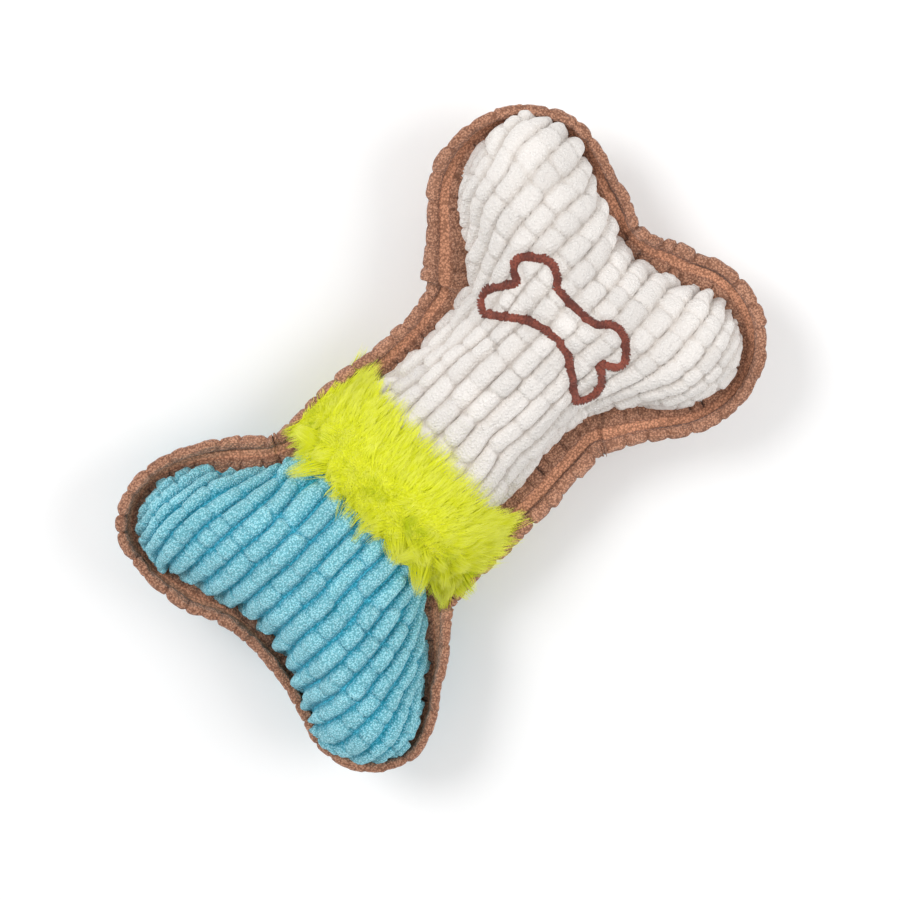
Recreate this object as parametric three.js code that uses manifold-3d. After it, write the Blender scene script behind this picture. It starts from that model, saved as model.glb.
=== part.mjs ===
// A squeaky dog toy: a stuffed corduroy bone with a fur band at its waist and a squeaker in its cream end.
// Millimetres. The toy lies on its back on z = 0, its front faces +Z, and +X runs from the teal end to the cream end.
import * as THREE from "three";
import { mergeVertices } from "three/addons/utils/BufferGeometryUtils.js";
import Module from "manifold-3d";

const wasm = await Module();
wasm.setup();
const { Manifold, Mesh: SolidMesh } = wasm;

// Outline of the bone at its seam, seen from the front, measured from the middle of the outline; all arcs and lines
const OUTLINE_X = -1.05; // where that middle lies
const NECK_HALF_WIDTH = 30;
const NECK_FILLET = 16; // hollow curve between the neck and the flank of a lobe
// Each end: where the lines of the neck and the flank would meet, the widest point of a lobe, the lobe's radius on
// the neck side and on the end side of that point, and the foot of the notch between the two lobes
const CREAM_END = { flankStart: 39.5, lobeX: 79.5, lobeY: 58.5, flankRadius: 29, tipRadius: 22, notchX: 92 };
const TEAL_END = { flankStart: 46, lobeX: 83, lobeY: 62, flankRadius: 29, tipRadius: 18.5, notchX: 93 };

// Swell of the stuffed body above and below its seam
const BACK_CROWN = 26; // also the height of the seam above the ground
const FRONT_CROWN = 27;
const FRONT_BULGE = 4; // more swell at the middle of each end
const BACK_WAIST = 17.5; // crowns under the fur band
const FRONT_WAIST = 23.5;
const CROWN_WIDTH = 22; // how far in from the seam the swell levels out
const BULGE_WIDTH = 38; // and how far in the bulge does
const CROWN_REACH = 45; // how far from the band the body reaches its full crown
const CROWN_STEPS = 5; // mesh steps over the crown's width
const MESH_STEP = 9.5; // and beyond it

// Fabric
const FABRIC = 2.2; // thickness of the corduroy
const GAP = 0.3; // clearance between neighbouring pieces
const FILL_GAP = 0.6; // and between the stuffing and the fabric
const THREAD = 1.0; // thickness of a line of stitches
const SEAM_HALF = THREAD / 2 + GAP; // half the space between the two panel edges

// Fur band
const BAND_X = -22;
const BAND_WIDTH = 24; // of the backing
const PILE_WIDTH = 34; // of the pile, which spreads over both panels
const PILE = 7;

// Brown edge strip, folded double: two ridges with a flat groove between them
const STRIP_WIDTH = 12;
const STRIP_RIDGE = 2.4; // half thickness at a ridge
const STRIP_GROOVE = 1.3; // half thickness in the groove
const STRIP_BEND = 4; // width over which the strip turns up
const STRIP_NECK_TILT = THREE.MathUtils.degToRad(3);
const STRIP_CREAM_TILT = THREE.MathUtils.degToRad(58); // it stands up round the lobes
const STRIP_TEAL_TILT = THREE.MathUtils.degToRad(78);
const STRIP_SPLIT = 3.4; // space between the two lengths of strip under the band

// Embroidered bone: the outline again, at about a quarter of its size and across the toy
const MOTIF_SCALE = 0.255;
const MOTIF_X = 52;
const MOTIF_Y = 2;
const MOTIF_STEPS = 12; // points on a quarter of it
const STITCH_WIDTH = 2.8;
const STITCH_HEIGHT = 1.4;

// Squeaker
const SQUEAKER_X = 38;
const BLADDER_RADIUS = 22;
const BLADDER_HALF_HEIGHT = 12;
const BLADDER_WALL = 1.2;
const BARREL_RADIUS = 5;
const BARREL_BORE = 3.7;
const BARREL_LENGTH = 10;
const BARREL_FLANGE = 7;
const FLANGE_HEIGHT = 1.5;
const REED_THICKNESS = 0.25;
const REED_WIDTH = 2.6;
const REED_LENGTH = 6.6;
const REED_ROOT = 1.2; // length held between block and clip

const COLOURS = {
  cream: "#ebe6df",
  teal: "#67bdd2",
  lime: "#d3ea2c",
  brown: "#8c5f46",
  stitch: "#7d3c2d",
  thread: "#efece6",
  fill: "#f7f7f5",
  bladder: "#f2efe4",
  whistle: "#dfe3e6",
  reed: "#c9a45c",
};

const BIG = 400; // larger than the toy
const seamZ = BACK_CROWN;
const bandEdge = BAND_WIDTH / 2;
const { smoothstep } = THREE.MathUtils;

// Solids and joins

function solid(geometry) {
  geometry.deleteAttribute("normal");
  geometry.deleteAttribute("uv");
  const merged = mergeVertices(geometry, 1e-4);
  return new Manifold(
    new SolidMesh({
      numProp: 3,
      vertProperties: new Float32Array(merged.attributes.position.array),
      triVerts: new Uint32Array(merged.index.array),
    }),
  );
}

// Block between two corners; a missing bound reaches past the toy
function block({ x = [-BIG, BIG], y = [-BIG, BIG], z = [-BIG, BIG] }) {
  const size = [x, y, z].map(([low, high]) => high - low);
  const middle = [x, y, z].map(([low, high]) => (low + high) / 2);
  return solid(new THREE.BoxGeometry(...size).translate(...middle));
}

function rod(radius, z, [x, y] = [0, 0]) {
  const rodGeometry = new THREE.CylinderGeometry(radius, radius, z[1] - z[0], 32).rotateX(Math.PI / 2);
  return solid(rodGeometry.translate(x, y, (z[0] + z[1]) / 2));
}

// Turned solid from [radius, z] pairs, wound with the material on the left
function turned(profile, [x, y, z]) {
  const points = profile.map(([radius, height]) => new THREE.Vector2(radius, height));
  return solid(new THREE.LatheGeometry(points, 28).rotateX(Math.PI / 2).translate(x, y, z));
}

// Outline

// A quarter of the outline, and the share of its length where the corner of the lobe lies
function quarterPath({ flankStart, lobeX, lobeY, flankRadius, tipRadius, notchX }) {
  const flankCentreY = lobeY - flankRadius;
  const tipCentreY = lobeY - tipRadius;
  const toFlank = new THREE.Vector2(lobeX - flankStart, flankCentreY - NECK_HALF_WIDTH);
  const flankAngle = Math.atan2(toFlank.y, toFlank.x) + Math.asin(flankRadius / toFlank.length());
  const filletX = flankStart - NECK_FILLET * Math.tan(flankAngle / 2);
  const reach = notchX - lobeX;
  const notchRadius = (reach ** 2 + tipCentreY ** 2 - tipRadius ** 2) / (2 * (tipRadius - reach));
  const notchCentre = notchX + notchRadius;
  const toNotch = Math.atan2(-tipCentreY, notchCentre - lobeX);
  const quarterTurn = Math.PI / 2;
  const path = new THREE.Path();
  path.moveTo(0, NECK_HALF_WIDTH);
  path.lineTo(filletX, NECK_HALF_WIDTH);
  path.absarc(filletX, NECK_HALF_WIDTH + NECK_FILLET, NECK_FILLET, -quarterTurn, flankAngle - quarterTurn, false);
  path.absarc(lobeX, flankCentreY, flankRadius, quarterTurn + flankAngle, quarterTurn, true);
  const toCorner = path.getLength() + (tipRadius * Math.PI) / 4;
  path.absarc(lobeX, tipCentreY, tipRadius, quarterTurn, toNotch, true);
  path.absarc(notchCentre, 0, notchRadius, toNotch + Math.PI, Math.PI, false);
  return { path, cornerShare: toCorner / path.getLength() };
}

const CREAM_QUARTER = quarterPath(CREAM_END);
const TEAL_QUARTER = quarterPath(TEAL_END);
const quarterAt = (signX) => (signX > 0 ? CREAM_QUARTER : TEAL_QUARTER);

// Point on the outline, drawn in by an amount: share 0 is the middle of the neck, 1 the notch
function outlinePoint(share, signX, signY, inset) {
  const { path } = quarterAt(signX);
  const point = path.getPoint(share);
  const along = path.getTangent(Math.min(share, 1 - 1e-6));
  point.x += along.y * inset;
  point.y -= along.x * inset;
  return new THREE.Vector2(OUTLINE_X + point.x * signX, share === 1 ? 0 : point.y * signY);
}

// The outline as four sides that meet at the corners of the lobes, each from -1 to 1
function longSide(along, signY, inset) {
  const signX = Math.sign(along) || 1;
  return outlinePoint(quarterAt(signX).cornerShare * Math.abs(along), signX, signY, inset);
}

function endSide(across, signX, inset) {
  const toCorner = 1 - quarterAt(signX).cornerShare;
  return outlinePoint(1 - toCorner * Math.abs(across), signX, Math.sign(across) || 1, inset);
}

// Places from -1 to 1 across a width: close together where the crown falls away to the seam, then even
function meshPlaces(width) {
  const places = [];
  for (let i = 0; i < CROWN_STEPS; i++) {
    places.push((CROWN_WIDTH / width) * (1 - Math.cos((Math.PI / 2) * (i / CROWN_STEPS))));
  }
  const from = CROWN_WIDTH / width;
  const even = Math.ceil((width - 2 * CROWN_WIDTH) / MESH_STEP);
  const half = Array.from({ length: even + 1 }, (_, i) => from + ((1 - 2 * from) * i) / even);
  return [...places, ...half, ...places.map((place) => 1 - place).reverse()].map((place) => place * 2 - 1);
}

const ALONG = meshPlaces(2 * CREAM_END.notchX);
const ACROSS = meshPlaces(2 * CREAM_END.lobeY);

// Grid of points that fills the outline, each blended from the four sides
function outlineGrid(inset) {
  const mix = (low, high, place) => low.clone().multiplyScalar((1 - place) / 2).addScaledVector(high, (1 + place) / 2);
  return ACROSS.map((v) => {
    const ends = [endSide(v, -1, inset), endSide(v, 1, inset)];
    const corners = [-1, 1].map((sign) => mix(endSide(-1, sign, inset), endSide(1, sign, inset), v));
    return ALONG.map((u) => {
      const sides = mix(longSide(u, -1, inset), longSide(u, 1, inset), v);
      return sides.add(mix(...ends, u)).sub(mix(...corners, u));
    });
  });
}

// The outer points of the grid, anticlockwise
function outlineLoop(grid) {
  const right = grid.map((row) => row.at(-1));
  const left = grid.map((row) => row[0]).reverse();
  return [...grid[0].slice(0, -1), ...right.slice(0, -1), ...grid.at(-1).slice(1).reverse(), ...left.slice(0, -1)];
}

const OUTLINE = outlineLoop(outlineGrid(0));
const OUTLINE_OUT = outlineLoop(outlineGrid(-1)).map((point, index) => point.clone().sub(OUTLINE[index]));

function distanceToLoop(point, loop) {
  const place = new THREE.Vector3(point.x, point.y, 0);
  const near = new THREE.Vector3();
  const segment = new THREE.Line3();
  const distances = loop.map((corner, index) => {
    const next = loop[(index + 1) % loop.length];
    segment.start.set(corner.x, corner.y, 0);
    segment.end.set(next.x, next.y, 0);
    return segment.closestPointToPoint(place, true, near).distanceTo(place);
  });
  return Math.min(...distances);
}

// Stuffed body

const fullness = (x) => smoothstep(Math.abs(x - BAND_X), bandEdge, CROWN_REACH);
const backCrown = (x) => BACK_WAIST + (BACK_CROWN - BACK_WAIST) * fullness(x);
function frontCrown(x, inward) {
  const bulge = FRONT_BULGE * smoothstep(inward, CROWN_WIDTH, BULGE_WIDTH);
  return FRONT_WAIST + (FRONT_CROWN + bulge - FRONT_WAIST) * fullness(x);
}

// The whole body's form drawn in by an amount on every side, or let out where it is negative
function pillow(inset) {
  const grid = outlineGrid(inset);
  const loop = outlineLoop(grid);
  const rows = ACROSS.length;
  const columns = ALONG.length;
  const fronts = [];
  const backs = [];
  for (const point of grid.flat()) {
    const inward = distanceToLoop(point, loop);
    const width = CROWN_WIDTH - inset;
    const rise = Math.sqrt(1 - (1 - Math.min(inward / width, 1)) ** 2);
    fronts.push(point.x, point.y, seamZ + rise * (frontCrown(point.x, inward + inset) - inset));
    backs.push(point.x, point.y, seamZ - rise * (backCrown(point.x) - inset));
  }
  const indices = [];
  for (let row = 0; row < rows - 1; row++) {
    for (let column = 0; column < columns - 1; column++) {
      const [a, b] = [row * columns + column, row * columns + column + 1];
      const [c, d] = [b + columns, a + columns];
      const under = rows * columns;
      // diagonals run to the corners of the outline, where the edge turns
      const turn = row < (rows - 1) / 2 === column < (columns - 1) / 2;
      const halves = turn ? [[a, b, d], [b, c, d]] : [[a, b, c], [a, c, d]];
      for (const [i, j, k] of halves) {
        indices.push(i, j, k, under + i, under + k, under + j);
      }
    }
  }
  const geometry = new THREE.BufferGeometry();
  geometry.setAttribute("position", new THREE.Float32BufferAttribute([...fronts, ...backs], 3));
  geometry.setIndex(indices);
  return solid(geometry);
}

const skin = pillow(0);
const lining = pillow(FABRIC);
const shell = skin.subtract(lining);
const fill = pillow(FABRIC + FILL_GAP);

const front = { z: [seamZ + SEAM_HALF, BIG] };
const back = { z: [-BIG, seamZ - SEAM_HALF] };
const creamSide = { x: [BAND_X + bandEdge + SEAM_HALF, BIG] };
const tealSide = { x: [-BIG, BAND_X - bandEdge - SEAM_HALF] };

const panel = (side, face) => shell.intersect(block({ ...side, ...face }));

// Backing in line with the panels, and pile that stands on it and spreads over the panels and the edge strip
function furBand(face, pileZ) {
  const across = (width, z) => block({ x: [BAND_X - width / 2, BAND_X + width / 2], z });
  const backingWidth = BAND_WIDTH - 2 * SEAM_HALF;
  const pile = pillow(-PILE);
  return pile
    .subtract(pillow(-GAP))
    .intersect(across(PILE_WIDTH, pileZ))
    .add(pile.subtract(lining).intersect(across(backingWidth, pileZ)))
    .add(shell.intersect(across(backingWidth, face.z)));
}

// Line of stitches in the middle of the fabric
const stitchLine = pillow((FABRIC - THREAD) / 2).subtract(pillow((FABRIC + THREAD) / 2));
const inSeam = { z: [seamZ - THREAD / 2, seamZ + THREAD / 2] };
const atBandEdge = (x) => ({ x: [x - THREAD / 2, x + THREAD / 2] });

// Edge strip

function stripTilt(x) {
  const fromMiddle = x - OUTLINE_X;
  const share = smoothstep(Math.abs(fromMiddle), NECK_HALF_WIDTH, CREAM_END.lobeX);
  const endTilt = fromMiddle > 0 ? STRIP_CREAM_TILT : STRIP_TEAL_TILT;
  return STRIP_NECK_TILT + (endTilt - STRIP_NECK_TILT) * share;
}

// [distance across the strip, height above its middle], anticlockwise
function stripSection() {
  const ridge = (from, to) => [
    [from, STRIP_GROOVE],
    [(from + to) / 2, STRIP_RIDGE],
    [to, STRIP_GROOVE],
  ];
  const top = [...ridge(0, STRIP_WIDTH * 0.42), ...ridge(STRIP_WIDTH * 0.58, STRIP_WIDTH)];
  const bottom = top.map(([across, height]) => [across, -height]);
  return [...bottom, ...top.reverse()];
}

function edgeStrip() {
  const section = stripSection();
  const vertices = [];
  OUTLINE.forEach((corner, index) => {
    const tilt = stripTilt(corner.x);
    const bendRadius = STRIP_BEND / tilt;
    for (const [across, height] of section) {
      const angle = (tilt * Math.min(across, STRIP_BEND)) / STRIP_BEND;
      const past = Math.max(0, across - STRIP_BEND);
      const out = GAP + bendRadius * Math.sin(angle) + past * Math.cos(tilt) - height * Math.sin(angle);
      const up = bendRadius * (1 - Math.cos(angle)) + past * Math.sin(tilt) + height * Math.cos(angle);
      const place = corner.clone().addScaledVector(OUTLINE_OUT[index], out);
      vertices.push(place.x, place.y, seamZ + up);
    }
  });
  const columns = section.length;
  const indices = [];
  OUTLINE.forEach((_, row) => {
    const nextRow = ((row + 1) % OUTLINE.length) * columns;
    section.forEach((_, column) => {
      const nextColumn = (column + 1) % columns;
      const [a, b] = [row * columns + column, nextRow + column];
      const [c, d] = [nextRow + nextColumn, row * columns + nextColumn];
      indices.push(a, b, c, a, c, d);
    });
  });
  const geometry = new THREE.BufferGeometry();
  geometry.setAttribute("position", new THREE.Float32BufferAttribute(vertices, 3));
  geometry.setIndex(indices);
  return solid(geometry);
}

const strip = edgeStrip();

// Embroidery

// A flat line of stitches that lies on the cream panel
function motif() {
  const steps = Array.from({ length: MOTIF_STEPS }, (_, i) => i / MOTIF_STEPS);
  const edge = (offset) => {
    const inset = -offset / MOTIF_SCALE;
    const quarter = (signX, signY) => steps.map((share) => outlinePoint(share, signX, signY, inset));
    const back = (signX, signY) => steps.map((share) => outlinePoint(1 - share, signX, signY, inset));
    return [...back(1, 1), ...quarter(-1, 1), ...back(-1, -1), ...quarter(1, -1)].map(
      (p) => new THREE.Vector2(MOTIF_X - p.y * MOTIF_SCALE, MOTIF_Y + (p.x - OUTLINE_X) * MOTIF_SCALE),
    );
  };
  const line = new THREE.Shape(edge(STITCH_WIDTH / 2));
  line.holes.push(new THREE.Path(edge(-STITCH_WIDTH / 2)));
  const prism = new THREE.ExtrudeGeometry(line, { depth: BIG, bevelEnabled: false }).translate(0, 0, seamZ);
  return pillow(-GAP - STITCH_HEIGHT).subtract(pillow(-GAP)).intersect(solid(prism));
}

// Squeaker

const squeaker = [SQUEAKER_X, 0, seamZ];
const barrelBottom = -BLADDER_HALF_HEIGHT - GAP - FLANGE_HEIGHT;

function bladder() {
  const radius = BLADDER_RADIUS;
  const half = BLADDER_HALF_HEIGHT;
  const bore = BARREL_RADIUS + GAP;
  const collar = bore + BLADDER_WALL;
  const collarTop = -half + FLANGE_HEIGHT * 4;
  const floor = BLADDER_WALL - half;
  const outer = [
    [radius * 0.6, -half],
    [radius * 0.87, -half * 0.82],
    [radius, -half * 0.5],
    [radius * 0.96, -half * 0.22],
    [radius * 0.85, 0],
    [radius * 0.96, half * 0.22],
    [radius, half * 0.5],
    [radius * 0.87, half * 0.82],
    [radius * 0.6, half],
  ];
  const inner = outer.map(([r, z]) => [r - BLADDER_WALL, z * (1 - BLADDER_WALL / half)]).reverse();
  const profile = [
    [0, half - BLADDER_WALL],
    ...inner,
    [collar, floor],
    [collar, collarTop],
    [bore, collarTop],
    [bore, -half],
    ...outer,
    [0, half],
  ];
  return turned(profile, squeaker);
}

function whistleBarrel() {
  const flangeTop = barrelBottom + FLANGE_HEIGHT;
  const top = barrelBottom + BARREL_LENGTH;
  const profile = [
    [BARREL_BORE, barrelBottom],
    [BARREL_FLANGE, barrelBottom],
    [BARREL_FLANGE, flangeTop],
    [BARREL_RADIUS, flangeTop],
    [BARREL_RADIUS, top],
    [BARREL_BORE, top],
    [BARREL_BORE, barrelBottom],
  ];
  return turned(profile, squeaker);
}

// The reed lies over a slot in the block; its root is held between the block and the clip
const reedFoot = seamZ + barrelBottom + GAP;
const plugRadius = BARREL_BORE - GAP;
const plug = (length) => rod(plugRadius, [reedFoot, reedFoot + length], [SQUEAKER_X, 0]);
const reedX = [SQUEAKER_X, SQUEAKER_X + REED_THICKNESS];

function reedBlock() {
  const slot = block({
    x: [SQUEAKER_X - plugRadius / 2, BIG],
    y: [-REED_WIDTH / 3, REED_WIDTH / 3],
    z: [reedFoot - 1, reedFoot + REED_LENGTH * 0.8],
  });
  return plug(REED_LENGTH).intersect(block({ x: [-BIG, reedX[0] - GAP] })).subtract(slot);
}

const reedClip = () => plug(REED_ROOT).intersect(block({ x: [reedX[1] + GAP, BIG] }));

const reed = () =>
  block({ x: reedX, y: [-REED_WIDTH / 2, REED_WIDTH / 2], z: [reedFoot, reedFoot + REED_LENGTH] });

// Stuffing

const motifHalf = MOTIF_SCALE * TEAL_END.lobeY + STITCH_WIDTH / 2;
const lobeSplit = MOTIF_X + motifHalf + 2; // the core wads end just past the squeaker and the embroidery
const creamFrom = BAND_X + bandEdge + GAP;
const tealTo = BAND_X - bandEdge - GAP;
const leftSide = { y: [GAP / 2, BIG] };
const rightSide = { y: [-BIG, -GAP / 2] };

const pocketHalf = BLADDER_HALF_HEIGHT + GAP;
const pocket = rod(BLADDER_RADIUS + GAP, [seamZ - pocketHalf, seamZ + pocketHalf], [SQUEAKER_X, 0]).add(
  rod(BARREL_FLANGE + GAP, [seamZ + barrelBottom - GAP, seamZ], [SQUEAKER_X, 0]),
);
const wad = (bounds) => fill.intersect(block(bounds));
const creamCore = { x: [creamFrom, lobeSplit - GAP / 2] };
const creamLobes = { x: [lobeSplit + GAP / 2, BIG] };
const tealCore = { x: [GAP / 2 - lobeSplit, tealTo] };
const tealLobes = { x: [-BIG, -lobeSplit - GAP / 2] };

// Assembly

const toy = new THREE.Group();
toy.name = "squeaky_bone_toy";

function add(name, shape, colour, roughness) {
  const data = shape.getMesh();
  const geometry = new THREE.BufferGeometry();
  geometry.setAttribute("position", new THREE.Float32BufferAttribute(data.vertProperties, data.numProp));
  geometry.setIndex(Array.from(data.triVerts));
  geometry.computeVertexNormals();
  const material = new THREE.MeshStandardMaterial({ color: COLOURS[colour], roughness });
  material.name = name;
  const mesh = new THREE.Mesh(geometry, material);
  mesh.name = name;
  toy.add(mesh);
}

const pileClear = STRIP_RIDGE + STRIP_WIDTH * Math.sin(STRIP_NECK_TILT) + GAP;

add("cream_front_panel", panel(creamSide, front), "cream", 0.95);
add("cream_back_panel", panel(creamSide, back), "cream", 0.95);
add("teal_front_panel", panel(tealSide, front), "teal", 0.95);
add("teal_back_panel", panel(tealSide, back), "teal", 0.95);
add("fur_band_front", furBand(front, [seamZ + pileClear, BIG]), "lime", 1);
add("fur_band_back", furBand(back, [-BIG, seamZ - pileClear]), "lime", 1);
add("edge_strip_cream", strip.intersect(block({ x: [BAND_X + STRIP_SPLIT / 2, BIG] })), "brown", 0.95);
add("edge_strip_teal", strip.intersect(block({ x: [-BIG, BAND_X - STRIP_SPLIT / 2] })), "brown", 0.95);
add("motif_embroidery", motif(), "stitch", 0.6);
add("seam_thread_cream", stitchLine.intersect(block({ ...creamSide, ...inSeam })), "thread", 0.8);
add("seam_thread_teal", stitchLine.intersect(block({ ...tealSide, ...inSeam })), "thread", 0.8);
add("band_thread_cream", stitchLine.intersect(block(atBandEdge(BAND_X + bandEdge))), "thread", 0.8);
add("band_thread_teal", stitchLine.intersect(block(atBandEdge(BAND_X - bandEdge))), "thread", 0.8);
add("stuffing_cream_front", wad({ ...creamCore, z: [seamZ + GAP / 2, BIG] }).subtract(pocket), "fill", 1);
add("stuffing_cream_back", wad({ ...creamCore, z: [-BIG, seamZ - GAP / 2] }).subtract(pocket), "fill", 1);
add("stuffing_cream_lobe_left", wad({ ...creamLobes, ...leftSide }), "fill", 1);
add("stuffing_cream_lobe_right", wad({ ...creamLobes, ...rightSide }), "fill", 1);
add("stuffing_waist", wad({ x: [tealTo + GAP, creamFrom - GAP] }), "fill", 1);
add("stuffing_teal_core", wad(tealCore), "fill", 1);
add("stuffing_teal_lobe_left", wad({ ...tealLobes, ...leftSide }), "fill", 1);
add("stuffing_teal_lobe_right", wad({ ...tealLobes, ...rightSide }), "fill", 1);
add("squeaker_bladder", bladder(), "bladder", 0.5);
add("whistle_barrel", whistleBarrel(), "whistle", 0.4);
add("reed_block", reedBlock(), "whistle", 0.4);
add("reed_clip", reedClip(), "whistle", 0.4);
add("reed", reed(), "reed", 0.4);

export default toy;
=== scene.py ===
"""Looks of the squeaky bone toy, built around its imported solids.

Sizes are millimetres until a mesh is made. +X runs from the teal end to the cream end.
The front faces +Z.
"""
import math

import bpy
import numpy as np
from mathutils import Matrix, Vector
from mathutils.bvhtree import BVHTree
from mathutils.kdtree import KDTree


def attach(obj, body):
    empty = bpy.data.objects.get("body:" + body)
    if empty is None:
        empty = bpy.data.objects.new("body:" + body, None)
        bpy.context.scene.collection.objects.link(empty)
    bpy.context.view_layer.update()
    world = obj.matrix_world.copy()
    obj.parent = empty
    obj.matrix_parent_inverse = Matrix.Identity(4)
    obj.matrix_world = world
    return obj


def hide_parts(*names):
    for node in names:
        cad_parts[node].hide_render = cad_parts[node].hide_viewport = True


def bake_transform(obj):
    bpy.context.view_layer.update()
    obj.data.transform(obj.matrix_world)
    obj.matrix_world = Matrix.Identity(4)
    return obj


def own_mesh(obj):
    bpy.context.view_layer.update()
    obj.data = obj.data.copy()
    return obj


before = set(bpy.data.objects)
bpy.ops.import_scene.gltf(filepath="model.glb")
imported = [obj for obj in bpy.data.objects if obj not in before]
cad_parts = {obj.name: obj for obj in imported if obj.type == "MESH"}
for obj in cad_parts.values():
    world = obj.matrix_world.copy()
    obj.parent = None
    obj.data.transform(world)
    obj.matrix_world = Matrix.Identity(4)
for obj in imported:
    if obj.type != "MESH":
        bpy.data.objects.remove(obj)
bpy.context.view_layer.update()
scene = bpy.context.scene
scene.view_settings.view_transform = "Standard"
MM = 0.001

# Outline at the seam, as in the solids
OUTLINE_X = -1.05
NECK_HALF_WIDTH = 30.0
NECK_FILLET = 16.0
CREAM_END = dict(
    flank_start=39.5, lobe_x=79.5, lobe_y=58.5, flank_radius=29.0, tip_radius=22.0, notch_x=92.0
)
TEAL_END = dict(
    flank_start=46.0, lobe_x=83.0, lobe_y=62.0, flank_radius=29.0, tip_radius=18.5, notch_x=93.0
)

# Swell of the body, as in the solids
SEAM_Z = 26.0
BACK_CROWN = 26.0
FRONT_CROWN = 27.0
FRONT_BULGE = 4.0
BACK_WAIST = 17.5
FRONT_WAIST = 23.5
CROWN_WIDTH = 22.0
BULGE_WIDTH = 38.0
CROWN_REACH = 45.0

# Fur band and edge strip, as in the solids
BAND_X = -22.0
BAND_HALF = 12.0
STRIP_WIDTH = 12.0
STRIP_BEND = 4.0
STRIP_GAP = 0.3

# Sewn edge, from the middle of the cream end's notch anticlockwise round the seam: place on the seam,
# how far the stuffing pushes the seam out, how far the panel above hangs over it, and how far out
# the strip's rim stands
CREAM_LEFT_LOBE = [(0, -2, 1, 6), (16, -2, 5, 10), (32, 0, 2, 8), (58, 1, 5, 9), (72, 0, 0, 10)]
LEFT_NECK = [(104, -3, 0, 11), (118, -3, 0, 12), (140, -3, 0, 8), (156, -3, 0, 9), (168, 0, 0, 12)]
TEAL_LEFT_LOBE = [(196, 0, 0, 13), (208, 2, 2, 13), (225, -2, 0, 11), (240, -3, 0, 7), (272, -3, 0, 5)]
TEAL_NOTCH = [(284, -3, 0, 2), (306, -1, 0, 8), (320, -2, 0, 4)]
TEAL_RIGHT_LOBE = [(352, 0, 3, 5), (368, 1, 4, 5), (400, 1, 2, 8), (424, -3, 0, 3)]
RIGHT_NECK = [(440, 0, 0, 9), (456, 1, 1, 13), (466, -1, 0, 13), (512, -1, 0, 14)]
CREAM_RIGHT_LOBE = [(544, -1, 0, 13), (556, -3, 0, 10), (600, -3, 0, 6), (624, -3, 0, 8), (648, -3, 2, 11)]
SEWN_EDGE = CREAM_LEFT_LOBE + LEFT_NECK + TEAL_LEFT_LOBE + TEAL_NOTCH
SEWN_EDGE += TEAL_RIGHT_LOBE + RIGHT_NECK + CREAM_RIGHT_LOBE
PUSH_REACH = 18.0  # inside the seam, where its push has died away
HANG_RISE = 8.0  # over the seam, where the panel hangs out fully
HANG_REACH = (2.5, 17.0)  # inside the seam, where the overhang dies away
# Folds of the strip in the hollow corners: place on the seam, way that the fold climbs, height
STRIP_FOLDS = [
    (2.0, -1, 3.2), (122.0, -1, 2.6), (210.0, 1, 1.8), (318.0, 1, 1.6), (452.0, -1, 2.0), (545.0, 1, 2.8)
]
FOLD_STEP = 0.8  # half the length of a fold's steep side
FOLD_RUN = (2.0, 24.0)  # where a fold starts to sink again and where it has gone
FOLD_SHADE_HEIGHTS = (2.0, 2.6)  # heights between which the painted shade at a fold's foot grows

# Cloth
PANEL_TUCK = 3.0  # how far a panel goes under the fur band
PANEL_STEP = 0.52  # between points of a panel
EDGE_STEPS = 60  # points over the fall from crown to seam
CLOTH = 1.6  # thickness of a panel's backing
PILE_FLOOR, BACKING_FLOOR, STRAND_FLOOR = 0.05, 0.6, 0.3  # lowest heights over the ground
FRONT, BACK = 1, -1
TO_CREAM, TO_TEAL = 1, -1  # ways along the toy


def smoothstep(value, low, high):
    share = np.clip((value - low) / (high - low), 0, 1)
    return share * share * (3 - 2 * share)


def noise(points, size, seed):
    """Smooth random values from -1 to 1 at points, one lump every size millimetres."""
    scaled = np.asarray(points, float) / size + np.array([37.7, 91.3, 53.9]) * (1 + seed)
    cell = np.floor(scaled).astype(np.int64)
    part = scaled - cell
    part = part * part * (3 - 2 * part)
    total = np.zeros(scaled.shape[:-1])
    for corner in np.ndindex(2, 2, 2):
        key = cell + np.array(corner)
        mixed = (key[..., 0] * 73856093) ^ (key[..., 1] * 19349663) ^ (key[..., 2] * 83492791)
        mixed = (mixed * 2654435761 + seed * 97) & 0xFFFFFFFF
        mixed = ((mixed >> 15) ^ mixed) * 2246822519 & 0xFFFFFFFF
        value = (mixed >> 8) / float(1 << 23) - 1
        weight = np.prod(np.where(np.array(corner) == 1, part, 1 - part), axis=-1)
        total += value * weight
    return total


def noise_along(place, size, seed):
    """The same noise for places along one line."""
    return noise(np.stack([0 * place, place, 0 * place], 1), size, seed)


def unit(vectors):
    return vectors / np.maximum(np.linalg.norm(vectors, axis=-1, keepdims=True), 1e-9)


def round_average(values, times):
    """Values round a closed line, each averaged with its neighbours again and again."""
    for _ in range(times):
        values = (np.roll(values, 1, axis=0) + 2 * values + np.roll(values, -1, axis=0)) / 4
    return values


def lengths_along(line):
    return np.concatenate([[0], np.cumsum(np.linalg.norm(np.diff(line, axis=0), axis=1))])


def even_line(corners, step):
    """Points every step along a closed line, their places on it, and its length."""
    closed = np.concatenate([corners, corners[:1]])
    lengths = lengths_along(closed)
    places = np.linspace(0, lengths[-1], int(lengths[-1] / step), endpoint=False)
    return np.stack([np.interp(places, lengths, closed[:, i]) for i in (0, 1)], 1), places, lengths[-1]


def plan_tree(points):
    tree = KDTree(len(points))
    for number, point in enumerate(points):
        tree.insert((point[0], point[1], 0), number)
    tree.balance()
    return tree


# Outline


def arc_points(centre, radius, start, end):
    angles = np.linspace(start, end, max(8, int(abs(end - start) * radius / 0.2)))
    return np.stack([centre[0] + radius * np.cos(angles), centre[1] + radius * np.sin(angles)], 1)


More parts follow.
